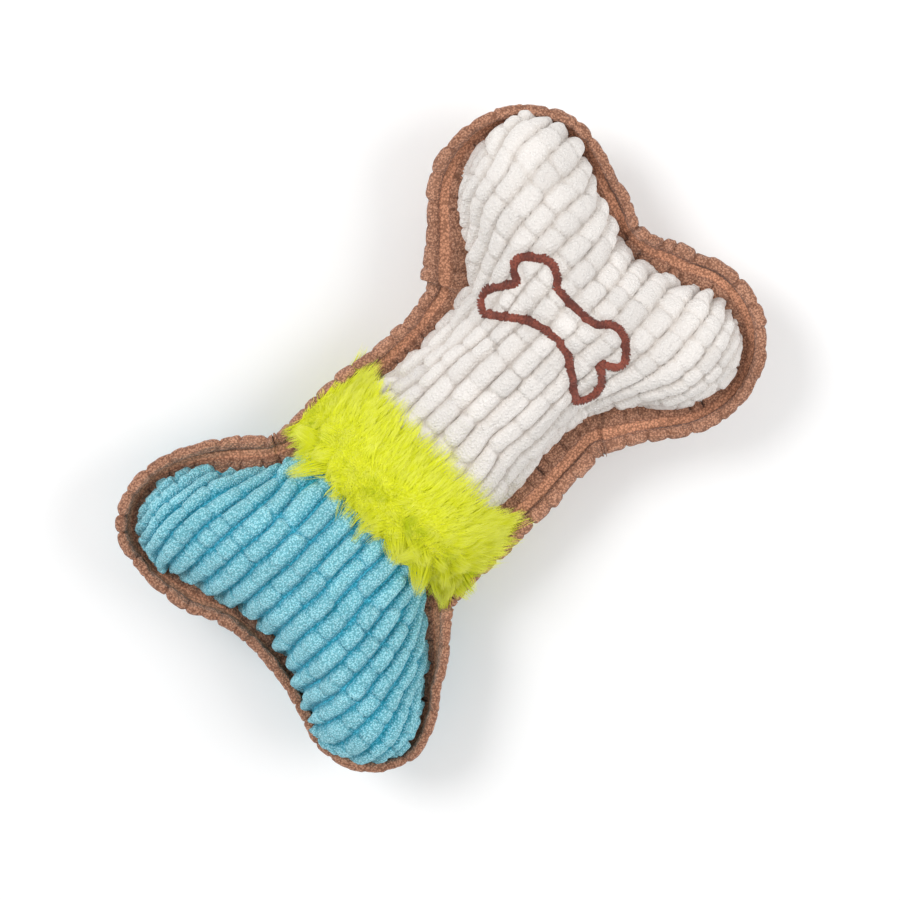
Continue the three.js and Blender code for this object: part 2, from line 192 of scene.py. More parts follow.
def quarter_outline(flank_start, lobe_x, lobe_y, flank_radius, tip_radius, notch_x):
    """A quarter from the neck to the notch: points, shares of its length, share at the lobe's corner."""
    flank_y = lobe_y - flank_radius
    tip_y = lobe_y - tip_radius
    across, up = lobe_x - flank_start, flank_y - NECK_HALF_WIDTH
    flank_angle = math.atan2(up, across) + math.asin(flank_radius / math.hypot(across, up))
    fillet_x = flank_start - NECK_FILLET * math.tan(flank_angle / 2)
    reach = notch_x - lobe_x
    notch_radius = (reach**2 + tip_y**2 - tip_radius**2) / (2 * (tip_radius - reach))
    notch_centre = notch_x + notch_radius
    to_notch = math.atan2(-tip_y, notch_centre - lobe_x)
    quarter = math.pi / 2
    to_lobe = [
        np.array([[0.0, NECK_HALF_WIDTH]]),
        arc_points((fillet_x, NECK_HALF_WIDTH + NECK_FILLET), NECK_FILLET, -quarter, flank_angle - quarter),
        arc_points((lobe_x, flank_y), flank_radius, quarter + flank_angle, quarter),
    ]
    to_end = [
        arc_points((lobe_x, tip_y), tip_radius, quarter, to_notch)[1:],
        arc_points((notch_centre, 0), notch_radius, to_notch + math.pi, math.pi)[1:],
    ]
    points = np.concatenate(to_lobe + to_end)
    points[-1, 1] = 0
    lengths = lengths_along(points)
    lobe_at = lengths[sum(len(part) for part in to_lobe) - 1]
    corner = (lobe_at + tip_radius * math.pi / 4) / lengths[-1]
    return points, lengths / lengths[-1], corner


QUARTERS = {TO_CREAM: quarter_outline(**CREAM_END), TO_TEAL: quarter_outline(**TEAL_END)}


def outline_at(share, sign_x, sign_y):
    points, shares, _ = QUARTERS[sign_x]
    x = np.interp(share, shares, points[:, 0])
    y = np.interp(share, shares, points[:, 1])
    return np.stack(np.broadcast_arrays(OUTLINE_X + sign_x * x, sign_y * y), -1)


def long_side(along, sign_y):
    sides = {sign: outline_at(QUARTERS[sign][2] * np.abs(along), sign, sign_y) for sign in (1, -1)}
    return np.where((along >= 0)[:, None], sides[1], sides[-1])


def end_side(across, sign_x):
    share = 1 - (1 - QUARTERS[sign_x][2]) * np.abs(across)
    return outline_at(share, sign_x, np.where(across < 0, -1, 1))


def outline_grid(along, across):
    """Points that fill the outline, blended from its four sides; along and across run from -1 to 1."""
    u, v = along[None, :, None], across[:, None, None]
    low, high = (1 - v) / 2, (1 + v) / 2
    left, right = (1 - u) / 2, (1 + u) / 2
    corner = {(sx, sy): outline_at(QUARTERS[sx][2], sx, sy) for sx in (1, -1) for sy in (1, -1)}
    sides = long_side(along, -1)[None] * low + long_side(along, 1)[None] * high
    ends = end_side(across, -1)[:, None] * left + end_side(across, 1)[:, None] * right
    corners = (corner[-1, -1] * low + corner[-1, 1] * high) * left
    corners = corners + (corner[1, -1] * low + corner[1, 1] * high) * right
    return sides + ends - corners


def outline_loop():
    """The whole outline from the cream notch, anticlockwise."""
    cream, teal = QUARTERS[TO_CREAM][0], QUARTERS[TO_TEAL][0]
    parts = [cream[::-1] * (1, 1), teal[1:] * (-1, 1), teal[-2::-1] * (-1, -1), cream[1:-1] * (1, -1)]
    return np.concatenate(parts) + (OUTLINE_X, 0)


LOOP_STEP = 0.5
LOOP, LOOP_PLACE, LOOP_LENGTH = even_line(outline_loop(), LOOP_STEP)
LOOP_AHEAD = unit(np.roll(LOOP, -1, axis=0) - np.roll(LOOP, 1, axis=0))
LOOP_OUT = np.stack([LOOP_AHEAD[:, 1], -LOOP_AHEAD[:, 0]], 1)
LOOP_TREE = plan_tree(LOOP)


def sewn_edge():
    """Round the outline: push of the seam, overhang, stand of the strip's rim, its folds, and painted shade
    at their feet.
    """
    places, *parts = np.array(SEWN_EDGE).T
    push, hang, rim = (np.interp(LOOP_PLACE, places, part, period=LOOP_LENGTH) for part in parts)
    fold, tuck = np.zeros(len(LOOP)), np.zeros(len(LOOP))
    for place, way, height in STRIP_FOLDS:
        past = way * ((LOOP_PLACE - place + LOOP_LENGTH / 2) % LOOP_LENGTH - LOOP_LENGTH / 2)
        fold += height * smoothstep(past, -FOLD_STEP, FOLD_STEP) * (1 - smoothstep(past, *FOLD_RUN))
        # painted shade at the foot of each high fold, kept in tuck
        tuck += 0.5 * smoothstep(height, *FOLD_SHADE_HEIGHTS) * np.exp(-(((past + 1.0) / 1.3) ** 2))
    return round_average(push, 30), round_average(hang, 30), round_average(rim, 16), fold, tuck


SEAM_PUSH, OVERHANG, RIM_STAND, STRIP_FOLD, STRIP_FOLD_SHADE = sewn_edge()


def inward(points):
    """Distance inside the outline, negative outside it, and the outline's nearest point."""
    flat = points.reshape(-1, 2)
    nearest = np.array([LOOP_TREE.find((x, y, 0))[1] for x, y in flat])
    best = np.full(len(flat), 1e9)
    signed = np.zeros(len(flat))
    for step in (-1, 0):
        start = LOOP[(nearest + step) % len(LOOP)]
        side = LOOP[(nearest + step + 1) % len(LOOP)] - start
        offset = flat - start
        share = np.clip((offset * side).sum(1) / np.maximum((side * side).sum(1), 1e-12), 0, 1)
        away = offset - side * share[:, None]
        distance = np.linalg.norm(away, axis=1)
        inside = np.where(side[:, 0] * away[:, 1] - side[:, 1] * away[:, 0] >= 0, 1, -1)
        closer = distance < best
        best = np.where(closer, distance, best)
        signed = np.where(closer, distance * inside, signed)
    return signed.reshape(points.shape[:-1]), nearest.reshape(points.shape[:-1])


# Stuffed body


def fullness(x):
    return smoothstep(np.abs(x - BAND_X), BAND_HALF, CROWN_REACH)


def body_height(points, depth, face):
    """Height of the body's skin over the seam's plane; depth is the distance inside the outline."""
    rise = np.sqrt(1 - (1 - np.clip(depth / CROWN_WIDTH, 0, 1)) ** 2)
    full = fullness(points[..., 0])
    if face == FRONT:
        bulge = FRONT_BULGE * smoothstep(depth, CROWN_WIDTH, BULGE_WIDTH)
        return rise * (FRONT_WAIST + (FRONT_CROWN + bulge - FRONT_WAIST) * full)
    return rise * (BACK_WAIST + (BACK_CROWN - BACK_WAIST) * full)


def body_points(points, depth, nearest, face):
    """Skin of the stuffed body, pushed out at the seam and hanging over it where it is fullest."""
    height = body_height(points, depth, face)
    push = SEAM_PUSH[nearest] * (1 - smoothstep(depth, 0, PUSH_REACH))
    hang = OVERHANG[nearest] * smoothstep(height, 0, HANG_RISE)
    push = push + hang * (1 - smoothstep(depth, *HANG_REACH))
    moved = points + LOOP_OUT[nearest] * push[..., None]
    return np.concatenate([moved, (SEAM_Z + face * height)[..., None]], -1)


def grid_normals(points, face):
    across, along = np.gradient(points, axis=0), np.gradient(points, axis=1)
    return unit(np.cross(along, across) * face)


# Wales

TABLE_STEP_X, TABLE_STEP_Y = 0.5, 0.25
TABLE_X = np.arange(-112, 112.01, TABLE_STEP_X)
TABLE_Y = np.arange(0, 72.01, TABLE_STEP_Y)
LOBE_LINE = 36.0  # over the ridge of a lobe
LOBE_FROM = 72.0  # beyond this the wales are laid out from the ridges
END_FROM = 85.0  # beyond this the length over the end is measured along the cloth
WALE_START, WALE_RUN = -225.0, 480.0  # tufts are laid out along each wale from here, over this length
CORNER_DEPTH = 0.45  # how deep a crease goes at a wale's side, where it is shallow in the middle


def columns_beyond(sign, start):
    """Columns of the table beyond a place towards one end, from the inside out."""
    columns = [c for c in range(len(TABLE_X)) if sign * TABLE_X[c] >= start]
    return sorted(columns, key=lambda c: sign * TABLE_X[c])


def wale_tables(face):
    """Place across the wales and along them, measured over the cloth, for points of the table."""
    points = np.stack(np.meshgrid(TABLE_X, TABLE_Y, indexing="ij"), -1)
    height = body_height(points, inward(points)[0], face)
    steps = np.hypot(np.diff(TABLE_Y)[None], np.diff(height, axis=1))
    arc = np.concatenate([np.zeros((len(TABLE_X), 1)), np.cumsum(steps, axis=1)], 1)
    across = arc.copy()
    line = int(round(LOBE_LINE / TABLE_STEP_Y))
    for sign, end in ((TO_CREAM, CREAM_END), (TO_TEAL, TEAL_END)):
        columns = columns_beyond(sign, LOBE_FROM)
        middle = arc[columns[0], line]
        scale = 1.0
        for c in columns:
            if sign * (TABLE_X[c] - OUTLINE_X) < end["notch_x"]:
                scale = middle / arc[c, line]
            across[c, line:] = middle + arc[c, line:] - arc[c, line]
            across[c, :line] = middle - scale * (arc[c, line] - arc[c, :line])
    along = np.repeat(TABLE_X[:, None], len(TABLE_Y), axis=1)
    for sign in (TO_CREAM, TO_TEAL):
        columns = columns_beyond(sign, END_FROM)
        for before, c in zip(columns, columns[1:]):
            along[c] = along[before] + sign * np.hypot(TABLE_STEP_X, height[c] - height[before])
    return across, along


def from_table(table, points):
    x = np.clip((points[..., 0] - TABLE_X[0]) / TABLE_STEP_X, 0, len(TABLE_X) - 1.001)
    y = np.clip(np.abs(points[..., 1]) / TABLE_STEP_Y, 0, len(TABLE_Y) - 1.001)
    i, j = x.astype(int), y.astype(int)
    p, q = x - i, y - j
    low = table[i, j] * (1 - q) + table[i, j + 1] * q
    high = table[i + 1, j] * (1 - q) + table[i + 1, j + 1] * q
    return low * (1 - p) + high * p


def shoulder(distance, width):
    """0 in a crease to 1 a width away from it, round like the end of a tuft."""
    return np.sqrt(1 - np.clip(1 - distance / width, 0, 1) ** 2)


def at_breaks(breaks, place):
    """For places along a wale: number of the next break, number of the nearest, and distance to that."""
    after = np.clip(np.searchsorted(breaks, place), 1, len(breaks) - 1)
    to_next, to_last = breaks[after] - place, place - breaks[after - 1]
    return after, np.where(to_next < to_last, after, after - 1), np.minimum(to_next, to_last)


def tufts(place, side, look, random):
    """For places along a wale and to its side: roundness, height, tone and lean of the tuft there."""
    count = int(WALE_RUN / look["tuft"][0])
    start = WALE_START + random.uniform(0, look["tuft"][1])
    breaks = start + np.cumsum(random.uniform(*look["tuft"], count))
    depths = look["break_depth"] * random.uniform(*look["break_range"], count)
    heights = random.uniform(1 - look["uneven"], 1, count)
    tones = random.uniform(-1, 1, count)
    leans = random.uniform(-1, 1, count) * look["stagger"]
    after, nearest, distance = at_breaks(breaks, place)
    from_crease = np.maximum(distance - look["corner"] * side**2, 0)
    depth = depths[nearest]
    depth = depth + CORNER_DEPTH * (1 - depth) * side**2
    round_end = 1 - depth * (1 - shoulder(from_crease, look["break_width"]))
    return round_end, heights[after], tones[after], leans[after]


def corduroy(across, along, look, random):
    """Pile height from 0 to 1 and a tone for each tuft, for places across and along the wales."""
    wale = np.floor(across / look["pitch"] + 0.5).astype(int)
    offset = 2 * (across / look["pitch"] - wale)
    lift = np.zeros(across.shape)
    tone = np.zeros(across.shape)
    for number in range(wale.min(), wale.max() + 1):
        here = wale == number
        round_end, height, tones, lean = tufts(along[here], np.abs(offset[here]), look, random)
        side = np.abs(offset[here] + lean * round_end * (1 - offset[here] ** 2))
        side = np.clip(side / look["width"], 0, 1)
        lift[here] = height * round_end * (1 - side ** look["round"]) ** look["shoulder"]
        tone[here] = tones
    return lift, tone


# Meshes

INNER_STRIDE = 4  # a sheet's inner side keeps every so many points of its outer side


def add_mesh(name, points, faces, material, values=None):
    """A smooth mesh from points in millimetres, with a value at each point for each name in values."""
    mesh = bpy.data.meshes.new(name)
    mesh.from_pydata((np.asarray(points) * MM).tolist(), [], [list(face) for face in faces])
    for key, numbers in (values or {}).items():
        attribute = mesh.attributes.new(key, "FLOAT", "POINT")
        attribute.data.foreach_set("value", np.ascontiguousarray(numbers, np.float32).ravel())
    mesh.polygons.foreach_set("use_smooth", np.ones(len(mesh.polygons), bool))
    mesh.materials.append(material)
    mesh.update()
    piece = bpy.data.objects.new(name, mesh)
    scene.collection.objects.link(piece)
    return piece


def mesh_as_shown(piece):
    """A new mesh of a piece with its modifiers applied."""
    return bpy.data.meshes.new_from_object(piece.evaluated_get(bpy.context.evaluated_depsgraph_get()))


def mesh_points(mesh):
    flat = np.empty(len(mesh.vertices) * 3, np.float32)
    mesh.vertices.foreach_get("co", flat)
    return flat.reshape(-1, 3).astype(float) / MM


def grid_faces(rows, columns):
    start = (np.arange(rows - 1)[:, None] * columns + np.arange(columns - 1)[None]).reshape(-1, 1)
    return start + np.array([0, 1, columns + 1, columns])


def tube_faces(rows, columns, start=0):
    """Faces of a closed tube of rings, with both ends capped."""
    ids = start + np.arange(rows * columns).reshape(rows, columns)
    after = np.roll(ids, -1, axis=1)
    quads = np.stack([ids[:-1], after[:-1], after[1:], ids[1:]], -1).reshape(-1, 4).tolist()
    return quads + [ids[0, ::-1].tolist(), ids[-1].tolist()]


def kept_places(count):
    return np.unique(np.append(np.arange(0, count, INNER_STRIDE), count - 1))


def closed_grid(outer, inner, face):
    """Points and faces of a sheet: a fine outer side, a coarser inner side, and a rim between them."""
    rows, columns = outer.shape[:2]
    some_rows, some_columns = kept_places(rows), kept_places(columns)
    coarse = inner[np.ix_(some_rows, some_columns)]
    ids = np.arange(rows * columns).reshape(rows, columns)
    inner_ids = rows * columns + np.arange(len(some_rows) * len(some_columns)).reshape(len(some_rows), -1)
    faces = grid_faces(rows, columns).tolist()
    faces += (grid_faces(*inner_ids.shape)[:, ::-1] + rows * columns).tolist()
    for fine, few, places, forward in (
        (ids[0], inner_ids[0], some_columns, True),
        (ids[:, -1], inner_ids[:, -1], some_rows, True),
        (ids[-1], inner_ids[-1], some_columns, False),
        (ids[:, 0], inner_ids[:, 0], some_rows, False),
    ):
        for number, (start, stop) in enumerate(zip(places, places[1:])):
            rim = [few[number], few[number + 1]] + fine[start : stop + 1][::-1].tolist()
            faces.append(rim if forward else rim[::-1])
    if face == BACK:
        faces = [one[::-1] for one in faces]
    return np.concatenate([outer.reshape(-1, 3), coarse.reshape(-1, 3)]), faces


# Materials

PARTING_SHADE = -3.5  # of the strands along the fur's parting, which get painted shade, the dark colour of the pile's shaded depth


def srgb(red, green, blue):
    """A screen colour from 0 to 255 as a colour for a shader."""
    parts = [c / 255 for c in (red, green, blue)]
    return tuple(c / 12.92 if c <= 0.04045 else ((c + 0.055) / 1.055) ** 2.4 for c in parts) + (1.0,)


def add_node(tree, kind, inputs=None, **settings):
    node = tree.nodes.new("ShaderNode" + kind)
    for key, value in settings.items():
        setattr(node, key, value)
    for key, value in (inputs or {}).items():
        if isinstance(value, bpy.types.NodeSocket):
            tree.links.new(value, node.inputs[key])
        else:
            node.inputs[key].default_value = value
    return node


def mix_colours(tree, share, first, second, blend="MIX"):
    mixed = add_node(tree, "Mix", {0: share, 6: first, 7: second}, data_type="RGBA", blend_type=blend)
    return mixed.outputs[2]


def remap(tree, value, low, high, to_low=0.0, to_high=1.0):
    inputs = {"Value": value, "From Min": low, "From Max": high, "To Min": to_low, "To Max": to_high}
    return add_node(tree, "MapRange", inputs, interpolation_type="SMOOTHSTEP").outputs[0]


def calculate(tree, operation, first, second):
    return add_node(tree, "Math", {0: first, 1: second}, operation=operation).outputs[0]


def point_value(tree, name):
    return add_node(tree, "Attribute", attribute_name=name).outputs["Fac"]


def object_noise(tree, scale, detail, **inputs):
    """Noise over an object's own space."""
    place = add_node(tree, "TexCoord").outputs["Object"]
    inputs = {"Vector": place, "Scale": scale, "Detail": detail, **inputs}
    return add_node(tree, "TexNoise", inputs).outputs["Fac"]


def shaded(tree, colour, shade):
    grey = add_node(tree, "CombineColor", {"Red": shade, "Green": shade, "Blue": shade}).outputs[0]
    return mix_colours(tree, 1.0, colour, grey, "MULTIPLY")


def new_group(name, inputs, outputs):
    group = bpy.data.node_groups.new(name, "ShaderNodeTree")
    for key, value in inputs.items():
        socket = group.interface.new_socket(key, in_out="INPUT", socket_type="NodeSocketFloat")
        socket.default_value = value
    for key in outputs:
        group.interface.new_socket(key, in_out="OUTPUT", socket_type="NodeSocketFloat")
    return group, group.nodes.new("NodeGroupInput"), group.nodes.new("NodeGroupOutput")


def loop_pile_group():
    """Grain of a loop pile: small knots, softer tufts, and slow changes of tone over the cloth."""
    group, given, put = new_group("loop_pile", {"Knots per metre": 900.0}, ["Height", "Speck", "Tone"])
    place = add_node(group, "TexCoord").outputs["Object"]
    knots = add_node(group, "TexVoronoi", {"Vector": place, "Scale": given.outputs[0], "Randomness": 1.0})
    fibre = object_noise(group, calculate(group, "MULTIPLY", given.outputs[0], 1.7), 3.0, Roughness=0.65)
    dome = remap(group, knots.outputs["Distance"], 0.0, 0.75, 1.0, 0.0)
    height = calculate(group, "ADD", calculate(group, "MULTIPLY", dome, 0.6), fibre)
    tone = object_noise(group, 38.0, 3.0)
    # Speck marks the knots' tops, where pile cloth gets painted highlights; Height also sets painted shade
    # in the pits.
    speck = remap(group, height, 0.5, 1.08)
    for key, value in (("Height", height), ("Speck", speck), ("Tone", tone)):
        group.links.new(value, put.inputs[key])
    return group


LOOP_PILE = loop_pile_group()


def new_material(name):
    material = bpy.data.materials.new(name)
    material.use_nodes = True
    return material, material.node_tree, material.node_tree.nodes["Principled BSDF"]


def set_shader(shader, **values):
    for key, value in values.items():
        shader.inputs[key.replace("_", " ").title().replace("Ior", "IOR")].default_value = value


def dress(tree, shader, colour, bumps, **values):
    """Give a shader its colour, its bumps by height, distance and strength, and its plain values."""
    bump = add_node(tree, "Bump", dict(zip(("Height", "Distance", "Strength"), bumps)))
    tree.links.new(colour, shader.inputs["Base Color"])
    tree.links.new(bump.outputs[0], shader.inputs["Normal"])
    set_shader(shader, **values)


def pile_material(name, groove, low, top, bright, knots, bump, speck, depth):
    """Pile cloth: coloured from groove to top by the pile's height, with specks of painted highlight where
    loops catch light, and painted shade in the pits and marked creases.
    """
    material, tree, shader = new_material(name)
    lift, tuft, painted_shade = (point_value(tree, key) for key in ("lift", "tone", "painted_shade"))
    pile = add_node(tree, "Group", node_tree=LOOP_PILE)
    pile.inputs[0].default_value = knots
    # Colour by pile height: a groove colour darker than the pile, as on the cream and teal, is painted
    # shade in the grooves as well as the ground cloth's own colour, and the paler top colour is partly
    # painted sheen on the pile's tips.
    body = mix_colours(tree, remap(tree, lift, 0.3, 0.9), low, top)
    colour = mix_colours(tree, remap(tree, lift, 0.0, 0.42), groove, body)
    # Painted highlights: specks of the bright colour on the knots' tops, where loops catch light.
    grain = calculate(tree, "MULTIPLY", pile.outputs["Speck"], remap(tree, lift, 0.05, 0.45, 0.12, speck))
    colour = mix_colours(tree, grain, colour, bright)
    shade = remap(tree, pile.outputs["Tone"], 0.3, 0.7, 0.94, 1.04)
    # Painted shade in the pits between the pile's knots, each tuft's own random tone, and the painted shade
    # marked on the strip.
    for value, low_end, high_end, darkest, palest in (
        (pile.outputs["Height"], 0.4, 0.9, 1.0 - depth, 1.0 + 0.3 * depth),
        (tuft, -1.0, 1.0, 0.94, 1.03),
        (painted_shade, 0.0, 1.0, 1.0, 0.35),
    ):
        more = remap(tree, value, low_end, high_end, darkest, palest)
        shade = calculate(tree, "MULTIPLY", shade, more)
    loops = calculate(tree, "MULTIPLY", pile.outputs["Height"], remap(tree, lift, 0.02, 0.35, 0.15, 1.0))
    looks = dict(roughness=0.95, specular_ior_level=0.15, sheen_weight=0.2, sheen_roughness=0.45)
    dress(tree, shader, shaded(tree, colour, shade), (loops, bump, 0.9), **looks)
    return material


def fur_material(name, root, middle, tip, parting_shade_colour):
    """Fine hair, darker at its root as painted shade deep in the pile, paler towards its tip, with painted
    shade along the parting, that lets part of the light on to the strands below.
    """
    material, tree, shader = new_material(name)
    reach, tone = point_value(tree, "reach"), point_value(tree, "tone")
    colour = mix_colours(tree, remap(tree, reach, 0.0, 0.35), root, middle)
    colour = mix_colours(tree, remap(tree, reach, 0.45, 1.0), colour, tip)
    # Painted shade along the parting, for strands whose tone is far below -1.
    colour = mix_colours(tree, remap(tree, tone, PARTING_SHADE, -0.9, 0.8, 0.0), colour, parting_shade_colour)
    colour = shaded(tree, colour, remap(tree, tone, -1.0, 1.0, 0.93, 1.05))
    tree.links.new(colour, shader.inputs["Base Color"])
    set_shader(shader, roughness=0.7, specular_ior_level=0.2)
    passed = calculate(tree, "MULTIPLY", add_node(tree, "LightPath").outputs["Is Shadow Ray"], 0.75)
    clear = add_node(tree, "BsdfTransparent")
    lit = add_node(tree, "MixShader", {0: passed, 1: shader.outputs[0], 2: clear.outputs[0]})
    tree.links.new(lit.outputs[0], tree.nodes["Material Output"].inputs["Surface"])
    return material


def thread_material(name, low, top):
    """Twisted thread, darker between its strands: painted shade."""
    material, tree, shader = new_material(name)
    twist = object_noise(tree, 1400.0, 2.0)
    share = calculate(tree, "MULTIPLY", twist, object_noise(tree, 160.0, 2.0))
    colour = mix_colours(tree, remap(tree, share, 0.12, 0.4), low, top)
    looks = dict(roughness=0.55, specular_ior_level=0.35, sheen_weight=0.15)
    dress(tree, shader, colour, (twist, 0.0003, 0.6), **looks)
    return material


def fibre_material(name, low, top):
    """Loose filling: fine drawn-out fibres that run every way."""
    material, tree, shader = new_material(name)
    drawn = object_noise(tree, 420.0, 4.0, Distortion=2.5)
    colour = mix_colours(tree, remap(tree, drawn, 0.35, 0.65), low, top)
    looks = dict(roughness=0.95, specular_ior_level=0.1, sheen_weight=0.3)
    dress(tree, shader, colour, (drawn, 0.0012, 0.8), **looks)
    return material


def moulded_material(name, low, top, metallic, rough):
    """Moulded plastic or rolled sheet: faint cloudy tone and a fine grain in the gloss."""
    material, tree, shader = new_material(name)
    cloud, grain = object_noise(tree, 150.0, 3.0), object_noise(tree, 2600.0, 2.0)
    colour = mix_colours(tree, remap(tree, cloud, 0.35, 0.65), low, top)
    dress(tree, shader, colour, (grain, 0.00005, 0.4), metallic=metallic)
    gloss = remap(tree, grain, 0.3, 0.7, rough - 0.06, rough + 0.08)
    tree.links.new(gloss, shader.inputs["Roughness"])
    return material


# Pile cloths: groove, low, top, and a bright colour for painted highlights; knots per metre, bump,
# highlight strength, and the depth of painted shade in the pits.
CREAM = pile_material(
    "cream_corduroy", srgb(206, 197, 189), srgb(229, 221, 214), srgb(241, 235, 230), srgb(249, 246, 242),
    900.0, 0.0006, 0.4, 0.03,
)
TEAL = pile_material(
    "teal_corduroy", srgb(52, 180, 208), srgb(70, 196, 224), srgb(146, 234, 252), srgb(226, 251, 255),
    1400.0, 0.0008, 0.4, 0.42,
)
BROWN = pile_material(
    "brown_corduroy", srgb(206, 146, 115), srgb(180, 125, 98), srgb(208, 150, 121), srgb(238, 192, 163),
    1250.0, 0.0008, 0.25, 0.48,
)
# The fur's root colour is darker as painted shade deep in the pile; its last colour is the painted shade
# along the parting.
LIME_FUR = fur_material(
    "lime_fur", srgb(206, 213, 16), srgb(243, 248, 44), srgb(250, 253, 110), srgb(196, 213, 14)
)
LIME_BODY = pile_material(
    "lime_fur_body", srgb(214, 220, 14), srgb(236, 241, 28), srgb(246, 249, 48), srgb(250, 253, 96),
    1100.0, 0.0008, 0.3, 0.1,
)
STITCH = thread_material("brown_thread", srgb(92, 40, 29), srgb(146, 74, 57))
SEAM_THREAD = thread_material("seam_thread", srgb(84, 54, 40), srgb(124, 82, 62))
BAND_THREAD = thread_material("band_thread", srgb(160, 180, 14), srgb(205, 225, 40))
FIBRE = fibre_material("white_fibre", srgb(222, 222, 220), srgb(248, 248, 246))
BLADDER = moulded_material("soft_vinyl", srgb(236, 232, 218), srgb(244, 241, 230), 0.0, 0.42)
WHISTLE = moulded_material("pale_plastic", srgb(214, 219, 222), srgb(226, 230, 232), 0.0, 0.36)
BRASS = moulded_material("brass_sheet", srgb(188, 148, 78), srgb(212, 174, 104), 1.0, 0.3)


# Stuffing

START_HEIGHT = 0.93  # the cloth starts flatter than it ends
FILL_FRAMES = 20
MOST_MOVE = 5.0
CLOTH_FACE, WAD_FACE = 4.5, 2.6  # sizes of the faces of the filled cloth and of a wad of fibre
FILL_ROWS, FILL_COLUMNS = 60, 120  # of the cloth before its mesh is made even
HELD_HEIGHT, HELD_DEPTH = 3.2, 3.5  # the cloth is held this near the seam, and under the fur band
NEAR_SOFT = 0.6  # added to distances from the filled cloth's points, so that none weighs too much
MOVE_SOFTENING = 10  # times that a panel's moves are averaged
LEAST_FULL = 0.98  # of the solid's height


def evened(piece, size):
    """Give a piece an even mesh with faces of one size."""
    remesh = piece.modifiers.new("even", "REMESH")
    remesh.mode = "VOXEL"
    remesh.voxel_size = size * MM
    even = mesh_as_shown(piece)
    piece.modifiers.clear()
    piece.data = even


def fill_cloth():
    """Swell the body's cloth with its stuffing: a tree of its start, its faces, points and their moves."""
    across = np.sin(np.linspace(-math.pi / 2, math.pi / 2, FILL_ROWS))
    flat = outline_grid(np.linspace(-1, 1, FILL_COLUMNS), across)
    depth, nearest = inward(flat)
    depth[0], depth[-1], depth[:, 0], depth[:, -1] = 0, 0, 0, 0
    depth = np.maximum(depth, 0)
    skins = [flattened(body_points(flat, depth, nearest, face)) for face in (FRONT, BACK)]
    points = np.concatenate(skins).reshape(-1, 3)
    rows, columns = flat.shape[:2]
    quads = grid_faces(rows, columns)
    ids = np.arange(rows * columns).reshape(rows, columns)
    rim = np.concatenate([ids[0], ids[-1], ids[:, 0], ids[:, -1]])
    same = np.arange(len(points))
    same[rim + rows * columns] = rim
    faces = np.concatenate([quads, same[quads[:, ::-1] + rows * columns]])
    cloth = add_mesh("filling_cloth", points, faces, FIBRE)
    evened(cloth, CLOTH_FACE)
    start = mesh_points(cloth.data)
    triangles = [list(face.vertices) for face in cloth.data.polygons]
    held = (np.abs(start[:, 2] - SEAM_Z) < HELD_HEIGHT) & (inward(start[:, :2])[0] < HELD_DEPTH)
    held |= np.abs(start[:, 0] - BAND_X) < BAND_HALF
    group = cloth.vertex_groups.new(name="held")
    group.add(np.flatnonzero(held).tolist(), 1.0, "REPLACE")
    cloth_modifier = cloth.modifiers.new("cloth", "CLOTH")
    settings = cloth_modifier.settings
    settings.quality = 6
    settings.mass = 0.3
    settings.tension_stiffness = settings.compression_stiffness = 18
    settings.bending_stiffness = 0.4
    settings.vertex_group_mass = "held"
    settings.use_pressure = True
    settings.uniform_pressure_force = 4
    settings.shrink_min = -0.03
    settings.effector_weights.gravity = 0
    cloth_modifier.collision_settings.use_collision = False
    cloth_modifier.point_cache.frame_end = FILL_FRAMES
    for number in range(1, FILL_FRAMES + 1):
        scene.frame_set(number)
    move = mesh_points(mesh_as_shown(cloth)) - start
    size = np.linalg.norm(move, axis=1, keepdims=True)
    move *= np.minimum(1, MOST_MOVE / np.maximum(size, 1e-6))
    scene.frame_set(1)
    bpy.data.objects.remove(cloth)
    return BVHTree.FromPolygons(start.tolist(), triangles), triangles, start, move


def flattened(points):
    return points * (1, 1, START_HEIGHT) + (0, 0, SEAM_Z * (1 - START_HEIGHT))


FILLED = fill_cloth()


def settled(points, face):
    """A panel's skin, moved as the filled cloth moved, and never flatter than the solid."""
    if FILLED is None:
        return points
    tree, triangles, start, move = FILLED
    low = flattened(points)
    flat = low.reshape(-1, 3)
    found = [tree.find_nearest(point) for point in flat.tolist()]
    corners = np.array([(triangles[hit[2]] * 2)[:4] for hit in found])
    near = 1 / (np.linalg.norm(start[corners] - flat[:, None], axis=-1) + NEAR_SOFT)
    moved = (move[corners] * near[..., None]).sum(1) / near.sum(1)[:, None]
    moved = moved.reshape(points.shape)
    for _ in range(MOVE_SOFTENING):
        wide = np.pad(moved, ((1, 1), (1, 1), (0, 0)), mode="edge")
        moved = (wide[:-2, 1:-1] + wide[2:, 1:-1] + wide[1:-1, :-2] + wide[1:-1, 2:] + 2 * moved) / 6
    skin = low + moved
    full = np.maximum(face * (skin[..., 2] - SEAM_Z), LEAST_FULL * face * (points[..., 2] - SEAM_Z))
    skin[..., 2] = SEAM_Z + face * full
    return skin


# Panels


def fall_places(width):
    """Places from 0 to 1 over a width: close together over the fall at the start, then even."""
    turn = np.linspace(0, math.pi / 2, EDGE_STEPS, endpoint=False)
    even = np.linspace(CROWN_WIDTH, width, int((width - CROWN_WIDTH) / PANEL_STEP) + 1)
    return np.concatenate([CROWN_WIDTH * (1 - np.cos(turn)), even]) / width


def across_places():
    half = fall_places(CREAM_END["lobe_y"]) - 1
    return np.concatenate([half, -half[-2::-1]])


ALL_ALONG = np.linspace(-1, 1, 4001)
RIDGE_X = outline_grid(ALL_ALONG, np.array([0.6]))[0, :, 0]


